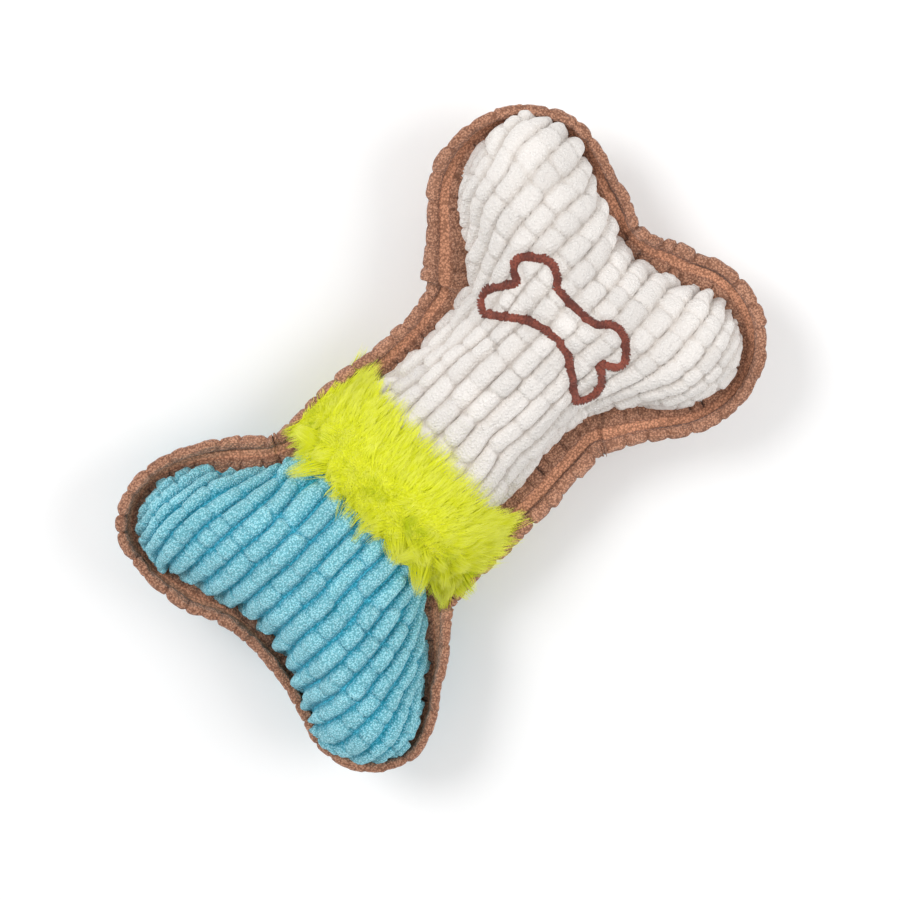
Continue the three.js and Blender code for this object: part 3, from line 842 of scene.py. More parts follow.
def along_places(end):
    """Places along the outline from the fur band to one end, spaced over the ridge of a lobe."""
    cut = BAND_X + end * (BAND_HALF - PANEL_TUCK)
    tip = RIDGE_X[-1] if end == TO_CREAM else RIDGE_X[0]
    places = tip + (cut - tip) * fall_places(abs(cut - tip))
    return np.interp(places[::-end], RIDGE_X, ALL_ALONG)


LOOKS = {
    TO_CREAM: dict(
        pitch=7.3, tuft=(9.0, 17.0), break_depth=1.0, break_range=(0.05, 0.55), break_width=2.7, corner=1.0,
        uneven=0.22, stagger=0.3, width=1.0, round=2.8, shoulder=0.55,
    ),
    TO_TEAL: dict(
        pitch=7.0, tuft=(9.0, 19.0), break_depth=0.75, break_range=(0.1, 0.9), break_width=2.2, corner=1.2,
        uneven=0.2, stagger=0.22, width=0.9, round=2.4, shoulder=0.6,
    ),
}
WALE_HEIGHT = {TO_CREAM: 2.6, TO_TEAL: 2.9}
WALE_TUCK = 1.2  # how far a panel sinks where it goes under the fur band
TUFT_GROWTH = (25.0, 95.0)  # distances from the band between which the tufts get shorter
WALE_TABLES = {face: wale_tables(face) for face in (FRONT, BACK)}


def panel(name, end, face, material, seed, press=None):
    """A pile panel from the fur band to one end, with a flat backing behind it."""
    random = np.random.default_rng(seed)
    flat = outline_grid(along_places(end), across_places())
    depth, nearest = inward(flat)
    depth[0], depth[-1], depth[:, -1 if end == TO_CREAM else 0] = 0, 0, 0
    depth = np.maximum(depth, 0)
    base = settled(body_points(flat, depth, nearest, face), face)
    normals = grid_normals(base, face)
    across = np.sign(flat[..., 1]) * from_table(WALE_TABLES[face][0], flat)
    along = from_table(WALE_TABLES[face][1], flat)
    across = across + 0.9 * noise(base, 22, seed) + 0.3 * noise(base, 7, seed + 1)
    shorter = 0.8 + 0.6 * smoothstep(np.abs(flat[..., 0] - BAND_X), *TUFT_GROWTH)
    along = along * shorter + 1.4 * noise(base, 9, seed + 2)
    lift, tone = corduroy(across, along, LOOKS[end], random)
    lift = np.clip(lift + 0.05 * noise(base, 1.6, seed + 3), 0, 1.1)
    from_seam = body_height(flat, depth, face)
    from_band = np.abs(flat[..., 0] - BAND_X)
    clear = smoothstep(from_band, BAND_HALF - 1, BAND_HALF + 4)
    edge = smoothstep(from_seam, 0.3, 2.4) * clear
    round_tip = shoulder(from_seam - 0.2, 2.0) * clear
    if press is not None:
        lift = lift * press(flat)
    tuck = WALE_TUCK * (1 - clear)
    steep = 1 - smoothstep(depth, 1, 5)
    rise = lift ** (1 + 0.9 * steep) * round_tip - 0.5 * edge
    rise = WALE_HEIGHT[end] * (1 + 0.5 * steep) * rise - tuck
    outer = base + normals * rise[..., None]
    inner = base - normals * (CLOTH + tuck)[..., None]
    outer[..., 2] = np.maximum(outer[..., 2], PILE_FLOOR)
    inner[..., 2] = np.maximum(inner[..., 2], BACKING_FLOOR)
    points, faces = closed_grid(outer, inner, face)
    hidden = np.zeros(len(points) - lift.size)
    values = {"lift": np.append(lift.ravel(), hidden), "tone": np.append(tone.ravel(), hidden)}
    return add_mesh(name, points, faces, material, values)


# Edge strip

STRIP_POINTS = 36  # over one face of the strip
RIDGE_PLACES = ((2.3, 2.4), (10.0, 2.2))  # middle and half width of the two wales along the strip
RIDGE_TUFTS = ((3.5, 8.0), (5.0, 9.5))
RIDGE_END = 1.9  # length of a tuft's round end
STRIP_CREASE = 7.7  # place of its crease line, dented and darkened with painted shade
INNER_WALE = (3.0, 5.5)  # places between which the painted shade on the inner wale ends
# strength of the painted shade on the inner wale, which lies in shade beside the panel
INNER_SHADE = 0.34
STRIP_SWAY = 5.0  # degrees that its tilt wanders
STRIP_UNDERSIDE = 0.75  # its thickness below, as a share of that above
STRIP_TUCKED = 2.4  # how far its root goes in between the panels
STRIP_HALF, RIDGE_RISE = 0.75, 1.65  # half its thickness, and what a wale adds to that
FLATTEST, STEEPEST = 0.02, 1.85  # tilts of the strip, in radians


def strip_order(end):
    """Points of the outline from one side of the fur band round an end to the other."""
    keep = end * (LOOP[:, 0] - BAND_X) > -0.3
    start = next(i for i in range(len(keep)) if keep[i] and not keep[i - 1])
    return (start + np.arange(int(keep.sum()))) % len(keep)


def strip_stand(tilt, width):
    """How far out the rim of a strip of this width stands at this tilt."""
    bent = STRIP_BEND / tilt * np.sin(tilt)
    return STRIP_GAP + bent + (width - STRIP_BEND) * np.cos(tilt) + np.sin(tilt)


def strip_tilt(stand, width):
    low, high = np.full(len(stand), FLATTEST), np.full(len(stand), STEEPEST)
    for _ in range(24):
        middle = (low + high) / 2
        far = strip_stand(middle, width) > stand
        low, high = np.where(far, middle, low), np.where(far, high, middle)
    return low


def ridge_tufts(length, lengths, random):
    """Along a ridge: roundness at the ends of a tuft, its height, and how far it lies out of line."""
    breaks = np.cumsum(random.uniform(*lengths, int(length[-1] / lengths[0]) + 4)) - lengths[1]
    heights = random.uniform(0.7, 1.0, len(breaks) + 1)
    depths = random.uniform(0.4, 1.0, len(breaks) + 1)
    shifts = random.uniform(-1, 1, len(breaks) + 1)
    after, nearest, distance = at_breaks(breaks, length)
    return 1 - depths[nearest] * (1 - shoulder(distance, RIDGE_END)), heights[after], shifts[after]


def edge_strip(name, end, seed):
    """The strip in the seam: two wales with a flat groove between them, standing up round the ends."""
    random = np.random.default_rng(seed)
    order = strip_order(end)
    length = LOOP_STEP * np.arange(len(order))
    out = LOOP_OUT[order]
    path = LOOP[order] + out * SEAM_PUSH[order][:, None]
    spine = np.concatenate([path, np.zeros((len(path), 1))], 1)
    free = smoothstep(np.abs(path[:, 0] - BAND_X), 1, 10)
    stand = RIM_STAND[order] - SEAM_PUSH[order] + 0.5 * free * noise(spine, 10, seed + 1)
    width = np.maximum(STRIP_WIDTH - 0.6 * OVERHANG[order], stand - 0.3)
    sway = np.radians(STRIP_SWAY) * free * noise(spine, 24, seed)
    tilt = np.maximum(strip_tilt(stand, width) + sway, FLATTEST)
    wave = free * (1.5 * noise(spine, 13, seed + 2) + 0.5 * noise(spine, 5, seed + 4))
    fold = STRIP_FOLD[order]
    across = STRIP_WIDTH * (1 - np.cos(np.linspace(0, math.pi, STRIP_POINTS))) / 2
    lift, crack_shade = np.zeros((len(order), STRIP_POINTS)), np.zeros((len(order), STRIP_POINTS))
    for (middle, half), lengths in zip(RIDGE_PLACES, RIDGE_TUFTS):
        shape = np.clip(1 - ((across - middle) / half) ** 2, 0, 1) ** 0.45
        round_end, height, shift = ridge_tufts(length, lengths, random)
        lift = np.maximum(lift, shape[None] * (height * round_end)[:, None])
        crack_shade = np.maximum(crack_shade, shape[None] * (1 - round_end)[:, None] ** 1.5)
    shift = round_average(shift, 3)
    line = STRIP_CREASE + 0.5 * noise(spine, 15, seed + 3)
    broken = smoothstep(noise(spine, 18, seed + 8), -0.5, 0.1)
    # The strip's painted shade: along its crease line, in the cracks between tufts, on the inner wale and
    # at the feet of folds; the same values also thin the strip a little.
    painted_shade = np.exp(-(((across[None] - line[:, None]) / 0.4) ** 2)) * broken[:, None]
    inner_wale_shade = INNER_SHADE * (1 - smoothstep(across, *INNER_WALE))
    painted_shade = np.maximum(np.maximum(painted_shade, 0.7 * crack_shade + inner_wale_shade), STRIP_FOLD_SHADE[order][:, None])
    closing = shoulder(np.clip(STRIP_WIDTH - across, 0, None), 1.3) * shoulder(across, 0.8)
    half = (STRIP_HALF + RIDGE_RISE * lift - 0.35 * painted_shade) * closing
    reach = 0.15 * (round_end * height - 0.8) + 0.035 * shift
    scallop = 1 + reach[:, None] * smoothstep(across, 6, STRIP_WIDTH)[None]
    rings = []
    for side, span in ((1, slice(None)), (-1, slice(-2, 0, -1))):
        a = across[span][None] * (width / STRIP_WIDTH)[:, None] * scallop[:, span]
        h = half[:, span] if side > 0 else -STRIP_UNDERSIDE * half[:, span]
        angle = tilt[:, None] * np.minimum(a, STRIP_BEND) / STRIP_BEND
        past = np.maximum(a - STRIP_BEND, 0)
        radius = STRIP_BEND / tilt[:, None]
        share = a / STRIP_WIDTH
        away = STRIP_GAP + radius * np.sin(angle) + past * np.cos(tilt)[:, None] - h * np.sin(angle)
        up = radius * (1 - np.cos(angle)) + past * np.sin(tilt)[:, None] + h * np.cos(angle)
        up = up + (wave + 0.6 * shift)[:, None] * share**2 + fold[:, None] * (0.25 + 0.75 * share)
        away = away + 0.35 * fold[:, None] * share - STRIP_TUCKED * np.clip(1 - a / 2.3, 0, 1) ** 2
        flat = path[:, None] + out[:, None] * away[..., None]
        rings.append(np.concatenate([flat, (SEAM_Z + up)[..., None]], -1))
    points = np.concatenate(rings, 1)
    lifts = np.concatenate([lift, lift[:, -2:0:-1]], 1)
    painted_shades = np.concatenate([painted_shade, painted_shade[:, -2:0:-1]], 1)
    grain = [noise(points, 1.5, seed + k) + 0.8 * noise(points, 3.2, seed + 3 + k) for k in (5, 6, 7)]
    points = points + np.stack(grain, -1) * (0.05 + 0.2 * smoothstep(lifts, 0.1, 0.6))[..., None]
    rows, columns = points.shape[:2]
    values = {"lift": lifts.ravel(), "tone": noise(points, 9, seed + 9).ravel(), "painted_shade": painted_shades.ravel()}
    return add_mesh(name, points.reshape(-1, 3), tube_faces(rows, columns), BROWN, values)


# Fur band

FLANGE_Z = {FRONT: 2.4, BACK: 1.0}  # of the band's base where it lies along the strip
FLANGE_REACH = {FRONT: 10.0, BACK: 7.0}  # how far it goes out along the strip
PAD_HALF = 15.0  # half width of the close body of the pile
PAD_RISE = 4.2  # its height over the cloth
BAND_SKEW = 0.06  # the band is sewn on a little askew
BAND_STEP = 0.25  # between points of the band's base
BAND_SOFTENING = 160  # times that its corner at the strip is averaged
PARTING = -0.38  # where the fur parts, as a share of the half width
PARTING_WIDTH = 0.13  # of the painted shade along it, as such a share
BAND_SUNK = 0.6  # underside of the pile's body below the cloth
TEAL_SIDE = (BAND_X - 6, BAND_X + 4)  # over this the fur turns from rough on the teal side to smooth


def band_section(face):
    """Half the band's base, from its middle out along the strip: points, ways out and places."""
    y = np.linspace(0, NECK_HALF_WIDTH, 1200)
    height = body_height(np.stack([np.full_like(y, BAND_X), y], -1), NECK_HALF_WIDTH - y, face)
    over = np.stack([y, height], 1)[height > FLANGE_Z[face]]
    past = np.linspace(NECK_HALF_WIDTH + 0.3, NECK_HALF_WIDTH + FLANGE_REACH[face], 60)
    line = np.concatenate([over, np.stack([past, np.full_like(past, FLANGE_Z[face])], 1)])
    lengths = lengths_along(line)
    places = np.arange(0, lengths[-1], BAND_STEP)
    line = np.stack([np.interp(places, lengths, line[:, i]) for i in (0, 1)], 1)
    for _ in range(BAND_SOFTENING):
        line[1:-1] = (line[:-2] + 2 * line[1:-1] + line[2:]) / 4
    ahead = unit(np.gradient(line, axis=0))
    return line, np.stack([-ahead[:, 1], ahead[:, 0]], 1), places


BAND_SECTIONS = {face: band_section(face) for face in (FRONT, BACK)}


def on_band(place, face):
    """Point and way out over the band's section and on over the strip, for places from its middle."""
    line, out, places = BAND_SECTIONS[face]
    size, side = np.abs(place), np.where(place < 0, -1, 1)
    y, z, out_y, out_z = (np.interp(size, places, part) for part in (*line.T, *out.T))
    return np.stack([side * y, SEAM_Z + face * z], -1), unit(np.stack([side * out_y, face * out_z], -1))


def pad_rise(x, place, face):
    """Height of the body of the pile: round across the band, thin at the strip's edge."""
    share = np.clip(np.abs(x - BAND_X) / PAD_HALF, 0, 1)
    to_edge = BAND_SECTIONS[face][2][-1] - np.abs(place)
    return (0.6 + PAD_RISE * np.sqrt(1 - share**2)) * (0.35 + 0.65 * smoothstep(to_edge, 0, 9))


def fur_body(name, face, seed):
    """The close body of the pile, soft and lumpy, under the long strands."""
    reach = BAND_SECTIONS[face][2][-1]
    place = np.linspace(-reach, reach, int(reach / BAND_STEP))
    turn = np.sin(np.linspace(-math.pi / 2, math.pi / 2, 60))
    yz, out = on_band(place, face)

    def layer(half, rise):
        x = BAND_X + half * turn[None] + BAND_SKEW * yz[:, :1]
        return np.concatenate([x[..., None], yz[:, None] + out[:, None] * rise[..., None]], -1)

    outer = layer(PAD_HALF, pad_rise(BAND_X + PAD_HALF * turn[None], place[:, None], face))
    inner = layer(BAND_HALF, np.full((len(place), len(turn)), -BAND_SUNK))
    lumps = 0.6 * noise(outer, 3.4, seed) + 0.4 * noise(outer, 1.5, seed + 1)
    outer = outer + grid_normals(outer, face) * (0.8 * lumps)[..., None]
    points, faces = closed_grid(outer, inner, face)
    hidden = np.zeros(len(points) - lumps.size)
    values = {"lift": np.append(0.6 + 0.5 * lumps.ravel(), hidden), "tone": noise(points, 6, seed + 2)}
    return add_mesh(name, points, faces, LIME_BODY, values)


STRAND_LEVELS = np.array([0.0, 0.3, 0.55, 0.8, 1.0])
STRAND_EDGES = [(ring + c, ring + (c + 1) % 3) for ring in (0, 3, 6) for c in range(3)]
STRAND_SIDES = [(a, b, b + 3, a + 3) for a, b in STRAND_EDGES]
STRAND_ENDS = [(0, 2, 1)] + [(9 + c, 9 + (c + 1) % 3, 12) for c in range(3)]
STRAND_RISE, STRAND_FALL = 0.43, 0.28  # along the way out, as shares of a strand's length
STRAND_COMB = (0.55, 0.45)  # along the way that it is combed, at its root and further on
STRAND_CURL = 0.28
STRAND_TAPER = 0.8
ROOT_SUNK = 0.7  # roots of the strands, in the body of the pile
LONG_PILE = dict(length=(11.0, 14.5), thick=(0.07, 0.11), locks=190, sway=0.22, gather=(0.18, 0.72))
UNDER_PILE = dict(length=(6.5, 9.5), thick=(0.08, 0.12), locks=260, sway=0.24, gather=(0.12, 0.52))


def fur_pile(name, face, count, seed, kind):
    """Tapered strands in locks, rooted in the body of the pile, parted nearer the teal end."""
    random = np.random.default_rng(seed)
    half = BAND_SECTIONS[face][2][-1]
    spread = PAD_HALF - 0.5
    place, x = random.uniform(-half, half, count), BAND_X + random.uniform(-spread, spread, count)
    locks = kind["locks"]
    lock_place = random.uniform(-half, half, locks)
    lock_x = BAND_X + random.uniform(-spread - 2, spread + 2, locks)
    tree = plan_tree(np.stack([lock_x, lock_place], 1))
    lock = np.array([tree.find((x[i], place[i], 0))[1] for i in range(count)])

    def parting_at(place):
        return PARTING + 0.2 * noise_along(place, 13, seed)

    def start_and_way(x, place, lengths, sway):
        yz, out = on_band(place, face)
        share = np.clip((x - BAND_X) / PAD_HALF, -1, 1)
        root = yz + out * (pad_rise(x, place, face) - ROOT_SUNK)[:, None]
        root = np.concatenate([(x + BAND_SKEW * yz[:, 0])[:, None], root], 1)
        normal = unit(np.concatenate([0.8 * share[:, None], out * np.sqrt(1.1 - share**2)[:, None]], 1))
        lean = np.tanh(1.8 * (share - parting_at(place)))
        aside = np.where(place < 0, 0.45, 0.12) if face == FRONT else 0.12
        comb = np.stack([np.where(lean > 0, 0.6, 0.42) * lean, aside * place / half, 0 * x], 1) + sway
        first = normal * STRAND_RISE + comb * STRAND_COMB[0]
        second = comb * STRAND_COMB[1] - normal * STRAND_FALL
        return root, normal, first * lengths[:, None], second * lengths[:, None]

    calm = 1 - 0.6 * smoothstep(lock_x, *TEAL_SIDE)
    lock_sway = random.normal(0, kind["sway"], (locks, 3)) * calm[:, None] * (1, 1, 0.4)
    lock_length = random.uniform(*kind["length"], locks)
    lock_root, _, lock_first, lock_second = start_and_way(lock_x, lock_place, lock_length, lock_sway)
    sway = 0.7 * lock_sway[lock] + random.normal(0, 0.06, (count, 3))
    lengths = lock_length[lock] * random.uniform(0.78, 1.06, count)
    over_strip = smoothstep(np.abs(place), half - STRIP_WIDTH, half - STRIP_WIDTH + 4)
    if face == BACK:
        lengths = lengths * (1 - 0.4 * over_strip)
    root, normal, first, second = start_and_way(x, place, lengths, sway)
    tip = (lock_root + lock_first + lock_second)[lock]
    teal_side = 1 - smoothstep(x, *TEAL_SIDE)
    low, high = kind["gather"]
    gather = (low + (high - low) * (0.3 + 0.7 * teal_side) * random.uniform(0.6, 1.0, count))[:, None]
    curl = random.normal(0, STRAND_CURL, (count, 3))
    points = []
    for level in STRAND_LEVELS:
        lone = root + first * level + second * level**2
        pull = (tip - (root + first + second)) * gather * level**1.5
        points.append(lone + pull + curl * math.sin(level * math.pi))
    line = np.stack(points, 1)
    line[..., 2] = np.maximum(line[..., 2], STRAND_FLOOR)
    ahead = unit(np.gradient(line, axis=1))
    side = unit(np.cross(ahead, random.normal(0, 1, (count, 1, 3))))
    other = np.cross(ahead, side)
    taper = 1 - STRAND_TAPER * STRAND_LEVELS**1.5
    thick = random.uniform(*kind["thick"], count)[:, None] * taper[None]
    turns = np.arange(3) * 2 * math.pi / 3
    round_way = np.stack([side * math.cos(turn) + other * math.sin(turn) for turn in turns], 2)
    ring = (line[:, :, None] + round_way * thick[..., None, None])[:, :-1].reshape(count, -1, 3)
    strand = np.concatenate([ring, line[:, -1:]], 1)
    size = strand.shape[1]
    fluffed = normal + 0.3 * unit(first + second) + (0, 0, 0.6 * face)
    own = np.concatenate([round_way[:, :-1].reshape(count, -1, 3), ahead[:, -1:]], 1)
    normals = unit(np.repeat(fluffed[:, None], size, axis=1) + 0.3 * own)
    base = np.arange(count)[:, None, None] * size
    faces = (base + np.array(STRAND_SIDES)).reshape(-1, 4).tolist()
    faces += (base + np.array(STRAND_ENDS)).reshape(-1, 3).tolist()
    reach = np.concatenate([np.repeat(STRAND_LEVELS[:-1], 3), [1.0]])
    tone = 0.5 * random.uniform(-1, 1, locks)[lock] + 0.5 * random.uniform(-1, 1, count)
    # Painted shade in spots along the parting, added to the strands' tone.
    shade_spots = smoothstep(noise_along(place, 7, seed + 5), -0.2, 0.4)
    from_parting = (x - BAND_X) / PAD_HALF - parting_at(place)
    tone = tone + PARTING_SHADE * shade_spots * np.exp(-((from_parting / PARTING_WIDTH) ** 2))
    values = {"reach": np.tile(reach, count), "tone": np.repeat(tone, size)}
    piece = add_mesh(name, strand.reshape(-1, 3), faces, LIME_FUR, values)
    piece.data.normals_split_custom_set_from_vertices(normals.reshape(-1, 3).tolist())
    return piece


# Embroidery

# A bone across the toy, bowed towards the fur band; [x, y] round its edge
MOTIF = [
    (40.4, 20.9), (43.2, 24.4), (46.9, 25.4), (50.6, 23.9), (54.2, 21.2), (55.8, 20.2), (57.5, 22.6),
    (59.6, 25.8), (62.2, 25.8), (65.3, 22.8), (67.9, 19.2), (67.9, 15.6), (66.0, 12.2), (63.4, 9.4),
    (62.8, 5.0), (62.8, 0.0), (62.9, -4.8), (63.7, -8.6), (66.6, -10.8), (67.8, -14.4), (66.6, -18.2),
    (63.8, -21.4), (61.0, -23.5), (58.4, -22.9), (56.6, -19.8), (55.2, -17.9), (53.0, -20.6),
    (50.0, -23.8), (46.2, -24.4), (42.4, -23.2), (40.2, -21.2), (43.5, -17.0), (47.3, -12.2),
    (50.2, -7.6), (51.5, -2.2), (51.3, 3.2), (50.0, 7.8), (47.3, 12.2), (44.0, 16.5),
]
MOTIF_LINE = round_average(even_line(np.array(MOTIF), 0.3)[0], 4)
PRESSED_SHARE = 0.55  # of the pile's height, left under the stitches
PRESSED_REACH = (1.2, 4.2)  # from the line, where the pile starts to rise and where it is full


def pressed_by_stitches(flat):
    """Share of the pile's height left near the embroidered line."""
    tree = plan_tree(MOTIF_LINE)
    low, high = MOTIF_LINE.min(0) - 6, MOTIF_LINE.max(0) + 6
    near = np.all((flat > low) & (flat < high), axis=-1)
    distance = np.full(flat.shape[:-1], 20.0)
    distance[near] = [tree.find((x, y, 0))[2] for x, y in flat[near]]
    return PRESSED_SHARE + (1 - PRESSED_SHARE) * smoothstep(distance, *PRESSED_REACH)


STITCH_RINGS = 8
STITCH_SIDES = 8
STITCH_STEP = 0.5  # between stitches along the line
STITCH_LENGTH = 3.8
STITCH_SLANT = 64.0  # degrees from the line
STITCH_WIDE, STITCH_HIGH = 0.5, 0.55  # half sizes across a stitch
STITCH_RISE = 0.3  # of its middle line over the cloth
STITCH_SAG = 0.75  # of its ends, into the cloth


def embroidery(name, cloth, seed):
    """Slanted stitches laid side by side over the cloth along the line."""
    random = np.random.default_rng(seed)
    cloth_faces = [polygon.vertices for polygon in cloth.data.polygons]
    surface = BVHTree.FromPolygons(mesh_points(cloth.data).tolist(), cloth_faces)
    line = round_average(even_line(np.array(MOTIF), STITCH_STEP)[0], 3)
    ahead = unit(np.roll(line, -1, axis=0) - np.roll(line, 1, axis=0))
    heights = np.array([surface.ray_cast((x, y, 90), (0, 0, -1))[0][2] for x, y in line])
    heights = np.maximum(heights, 0.5 * (np.roll(heights, 2) + np.roll(heights, -2)))
    heights = round_average(heights, 4)
    rings = np.linspace(0, 1, STITCH_RINGS)
    belly = np.sin(math.pi * np.clip(rings, 0.03, 0.97)) ** 0.4
    turns = np.linspace(0, 2 * math.pi, STITCH_SIDES, endpoint=False)
    points, faces = [], []
    for number, (x, y) in enumerate(line):
        slant = math.radians(STITCH_SLANT + random.normal(0, 6))
        turn = np.array([[math.cos(slant), -math.sin(slant)], [math.sin(slant), math.cos(slant)]])
        way = turn @ ahead[number]
        length = STITCH_LENGTH * random.uniform(0.94, 1.06)
        along, across = np.array([way[0], way[1], 0.0]), np.array([-way[1], way[0], 0.0])
        centre = np.array([x, y, heights[number] + STITCH_RISE]) + across * random.normal(0, 0.06)
        spine = centre + along * ((rings - 0.5) * length)[:, None]
        spine[:, 2] -= STITCH_SAG * (2 * rings - 1) ** 2
        wide = STITCH_WIDE * belly[:, None] * np.cos(turns)
        high = STITCH_HIGH * belly[:, None] * np.sin(turns)
        ring = spine[:, None] + across * wide[..., None] + np.array([0, 0, 1]) * high[..., None]
        points.append(ring.reshape(-1, 3))
        faces += tube_faces(STITCH_RINGS, STITCH_SIDES, number * STITCH_RINGS * STITCH_SIDES)
    return add_mesh(name, np.concatenate(points), faces, STITCH)


# Inside


def fibre_wad(name, node, seed, sunk=1.0):
    """A lumpy wad of loose fibre in the place of a stuffing solid."""
    piece = bpy.data.objects.new(name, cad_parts[node].data.copy())
    scene.collection.objects.link(piece)
    evened(piece, WAD_FACE)
    mesh = piece.data
    points = mesh_points(mesh)
    normals = np.array([vertex.normal for vertex in mesh.vertices])
    depth, nearest = inward(points[:, :2])
    drawn = np.minimum(SEAM_PUSH[nearest], 0) * (1 - smoothstep(depth, 0, PUSH_REACH))
    sink = sunk + 0.5 * noise(points, 9, seed) + 0.3 * noise(points, 4, seed + 1)
    points = points - normals * sink[:, None]
    points[:, :2] += LOOP_OUT[nearest] * drawn[:, None]
    mesh.vertices.foreach_set("co", (points * MM).astype(np.float32).ravel())
    mesh.materials.clear()
    mesh.materials.append(FIBRE)
    mesh.polygons.foreach_set("use_smooth", np.ones(len(mesh.polygons), bool))
    mesh.update()
    return piece


BLADDER_X, BLADDER_Z = 38.0, 26.0
BLADDER_RADIUS, BLADDER_HALF = 22.0, 12.0
BLADDER_MOUTH = 7.3
BLADDER_HOLLOW = (0.94, 0.9)  # inner radius and height, as shares of the outer
BLADDER_SIDES = 96


def squeaker_bladder(name):
    """A soft hollow disc: rings moulded in its top, a parting line, and a mouth below for the whistle."""
    turn = np.linspace(-math.pi / 2 + 0.36, math.pi / 2, 60)
    outer_r, outer_z = BLADDER_RADIUS * np.cos(turn) ** 0.8, BLADDER_HALF * np.sin(turn)
    ripple = 0.35 * np.sin(outer_r * 1.6) * smoothstep(outer_z, 6, 9) * smoothstep(outer_r, 2, 5)
    parting = 0.3 * np.exp(-((outer_z / 0.5) ** 2))
    keep = (outer_r >= BLADDER_MOUTH) | (outer_z > 0)
    outer = np.stack([outer_r + parting - 0.3, outer_z + ripple - 0.4], 1)[keep]
    inner = outer[::-1] * BLADDER_HOLLOW
    tips = [top * (0, 1) + (0.05, 0) for top in (outer[-1:], inner[:1])]
    profile = np.concatenate([outer[:-1], *tips, inner[1:]])
    angles = np.linspace(0, 2 * math.pi, BLADDER_SIDES, endpoint=False)
    x = BLADDER_X + profile[:, None, 0] * np.cos(angles)
    y = profile[:, None, 0] * np.sin(angles)
    z = np.broadcast_to(BLADDER_Z + profile[:, None, 1], x.shape)
    ids = np.arange(x.size).reshape(x.shape)
    after, above = np.roll(ids, -1, axis=1), np.roll(ids, -1, axis=0)
    faces = np.stack([ids, after, np.roll(above, -1, axis=1), above], -1).reshape(-1, 4)
    return add_mesh(name, np.stack([x, y, z], -1).reshape(-1, 3), faces, BLADDER)


# Stage

CAMERA_TURN, CAMERA_LEAN = 46.435, 8.0  # degrees
CAMERA_AWAY = 857.25
CAMERA_LENS = 100.0
CAMERA_TARGET_Z = 28.0
CAMERA_SHIFT = (1.5, -4.75)  # of its target to the right and up the picture
FLOOR_HALF = 1600.0


def set_camera():
    """Near the face's normal, with the toy across the picture's diagonal."""
    turn, lean = math.radians(CAMERA_TURN), math.radians(CAMERA_LEAN)
    right = Vector((math.cos(turn), -math.sin(turn), 0))
    level = Vector((math.sin(turn), math.cos(turn), 0))
    back = Vector((0, 0, math.cos(lean))) + level * math.sin(lean)
    up = level * math.cos(lean) - Vector((0, 0, math.sin(lean)))
    target = Vector((0, 0, CAMERA_TARGET_Z)) + right * CAMERA_SHIFT[0] + level * CAMERA_SHIFT[1]
    data = bpy.data.cameras.new("camera")
    data.lens = CAMERA_LENS
    camera = bpy.data.objects.new("camera", data)
    turned = Matrix((right, up, back)).transposed().to_4x4()
    camera.matrix_world = Matrix.Translation((target + back * CAMERA_AWAY) * MM) @ turned
    scene.collection.objects.link(camera)
    scene.camera = camera


def add_lamp(name, place, target, size, power):
    data = bpy.data.lights.new(name, "AREA")
    data.shape = "DISK"
    data.size = size
    data.energy = power
    lamp = bpy.data.objects.new(name, data)
    lamp.location = place
    lamp.rotation_mode = "QUATERNION"
    lamp.rotation_quaternion = (Vector(target) - Vector(place)).to_track_quat("-Z", "Y")
    scene.collection.objects.link(lamp)


def set_stage():
    material, tree, shader = new_material("floor")
    colour = mix_colours(tree, object_noise(tree, 9.0, 3.0), srgb(250, 250, 250), srgb(253, 253, 253))
    tree.links.new(colour, shader.inputs["Base Color"])
    set_shader(shader, roughness=0.9, specular_ior_level=0.1)
    corners = np.array([(-1, -1, 0), (1, -1, 0), (1, 1, 0), (-1, 1, 0)]) * FLOOR_HALF
    add_mesh("floor", corners, [(0, 1, 2, 3)], material)
    world = bpy.data.worlds.new("studio")
    scene.world = world
    world.use_nodes = True
    background = world.node_tree.nodes["Background"]
    background.inputs["Color"].default_value = (1.0, 1.0, 1.0, 1.0)
    background.inputs["Strength"].default_value = 0.66
    add_lamp("key", (-0.15, 0.95, 1.15), (0, 0, 0.02), 0.7, 9.4)
    add_lamp("fill", (0.75, -0.65, 1.0), (0, 0, 0.02), 0.9, 6.0)


# Assembly

set_camera()
set_stage()

PANEL_FILL, FUR_FILL, WAD_FILL = 0.85, 0.5, 0.6
WAIST_SUNK = 3.0  # the waist's wad stays clear of the pressed cloth


def stand_for(node):
    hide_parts(node)


def press(piece, node, fill=None):
    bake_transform(piece)
    stand_for(node)


def bend(piece, node):
    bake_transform(piece)
    stand_for(node)


def carry(piece, body, node):
    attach(piece, body)
    stand_for(node)


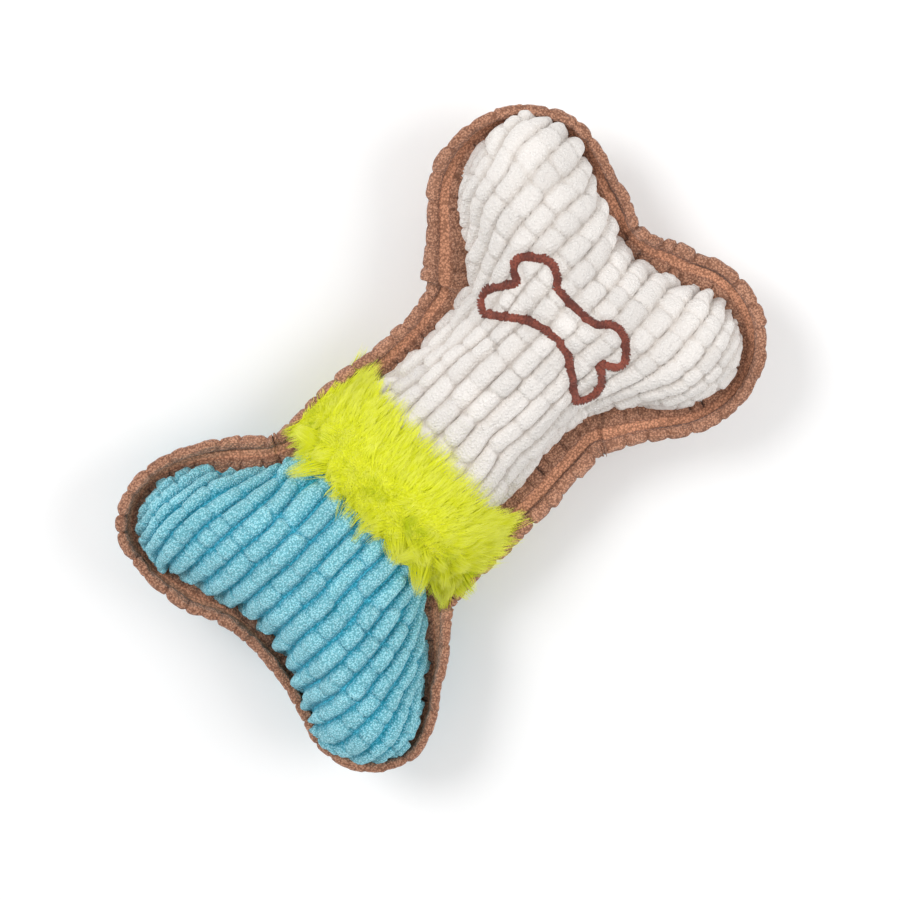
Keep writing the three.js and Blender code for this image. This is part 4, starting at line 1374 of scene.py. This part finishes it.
cream_front = panel("cream_front_cloth", TO_CREAM, FRONT, CREAM, 11, pressed_by_stitches)
press(embroidery("motif_stitches", cream_front, 15), "motif_embroidery")
press(cream_front, "cream_front_panel", PANEL_FILL)
carry(panel("cream_back_cloth", TO_CREAM, BACK, CREAM, 12), "cream_end", "cream_back_panel")
carry(panel("teal_front_cloth", TO_TEAL, FRONT, TEAL, 13), "teal_end", "teal_front_panel")
carry(panel("teal_back_cloth", TO_TEAL, BACK, TEAL, 14), "teal_end", "teal_back_panel")
bend(edge_strip("cream_edge_strip", TO_CREAM, 21), "edge_strip_cream")
bend(edge_strip("teal_edge_strip", TO_TEAL, 22), "edge_strip_teal")
for side, face, seed, counts in (("front", FRONT, 31, (9000, 9000)), ("back", BACK, 41, (8000, 6000))):
    node = "fur_band_" + side
    bend(fur_body(f"fur_{side}_body", face, seed), node)
    bend(fur_pile(f"fur_{side}_pile", face, counts[0], seed + 1, LONG_PILE), node)
    bend(fur_pile(f"fur_{side}_underpile", face, counts[1], seed + 2, UNDER_PILE), node)

for place, seed in (("cream_front", 51), ("cream_lobe_left", 54), ("cream_lobe_right", 55)):
    press(fibre_wad(place + "_fibre", "stuffing_" + place, seed), "stuffing_" + place, WAD_FILL)
bend(fibre_wad("waist_fibre", "stuffing_waist", 52, WAIST_SUNK), "stuffing_waist")
for body, place, seed in (
    ("cream_end", "cream_back", 53),
    ("teal_end", "teal_core", 56),
    ("teal_end", "teal_lobe_left", 57),
    ("teal_end", "teal_lobe_right", 58),
):
    carry(fibre_wad(place + "_fibre", "stuffing_" + place, seed), body, "stuffing_" + place)

bladder = squeaker_bladder("bladder")
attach(bladder, "cream_end")
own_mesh(bladder)
stand_for("squeaker_bladder")

for material, nodes in (
    (SEAM_THREAD, ("seam_thread_cream", "seam_thread_teal")),
    (BAND_THREAD, ("band_thread_cream", "band_thread_teal")),
    (WHISTLE, ("whistle_barrel", "reed_block", "reed_clip")),
    (BRASS, ("reed",)),
):
    for name in nodes:
        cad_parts[name].data.materials.clear()
        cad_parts[name].data.materials.append(material)
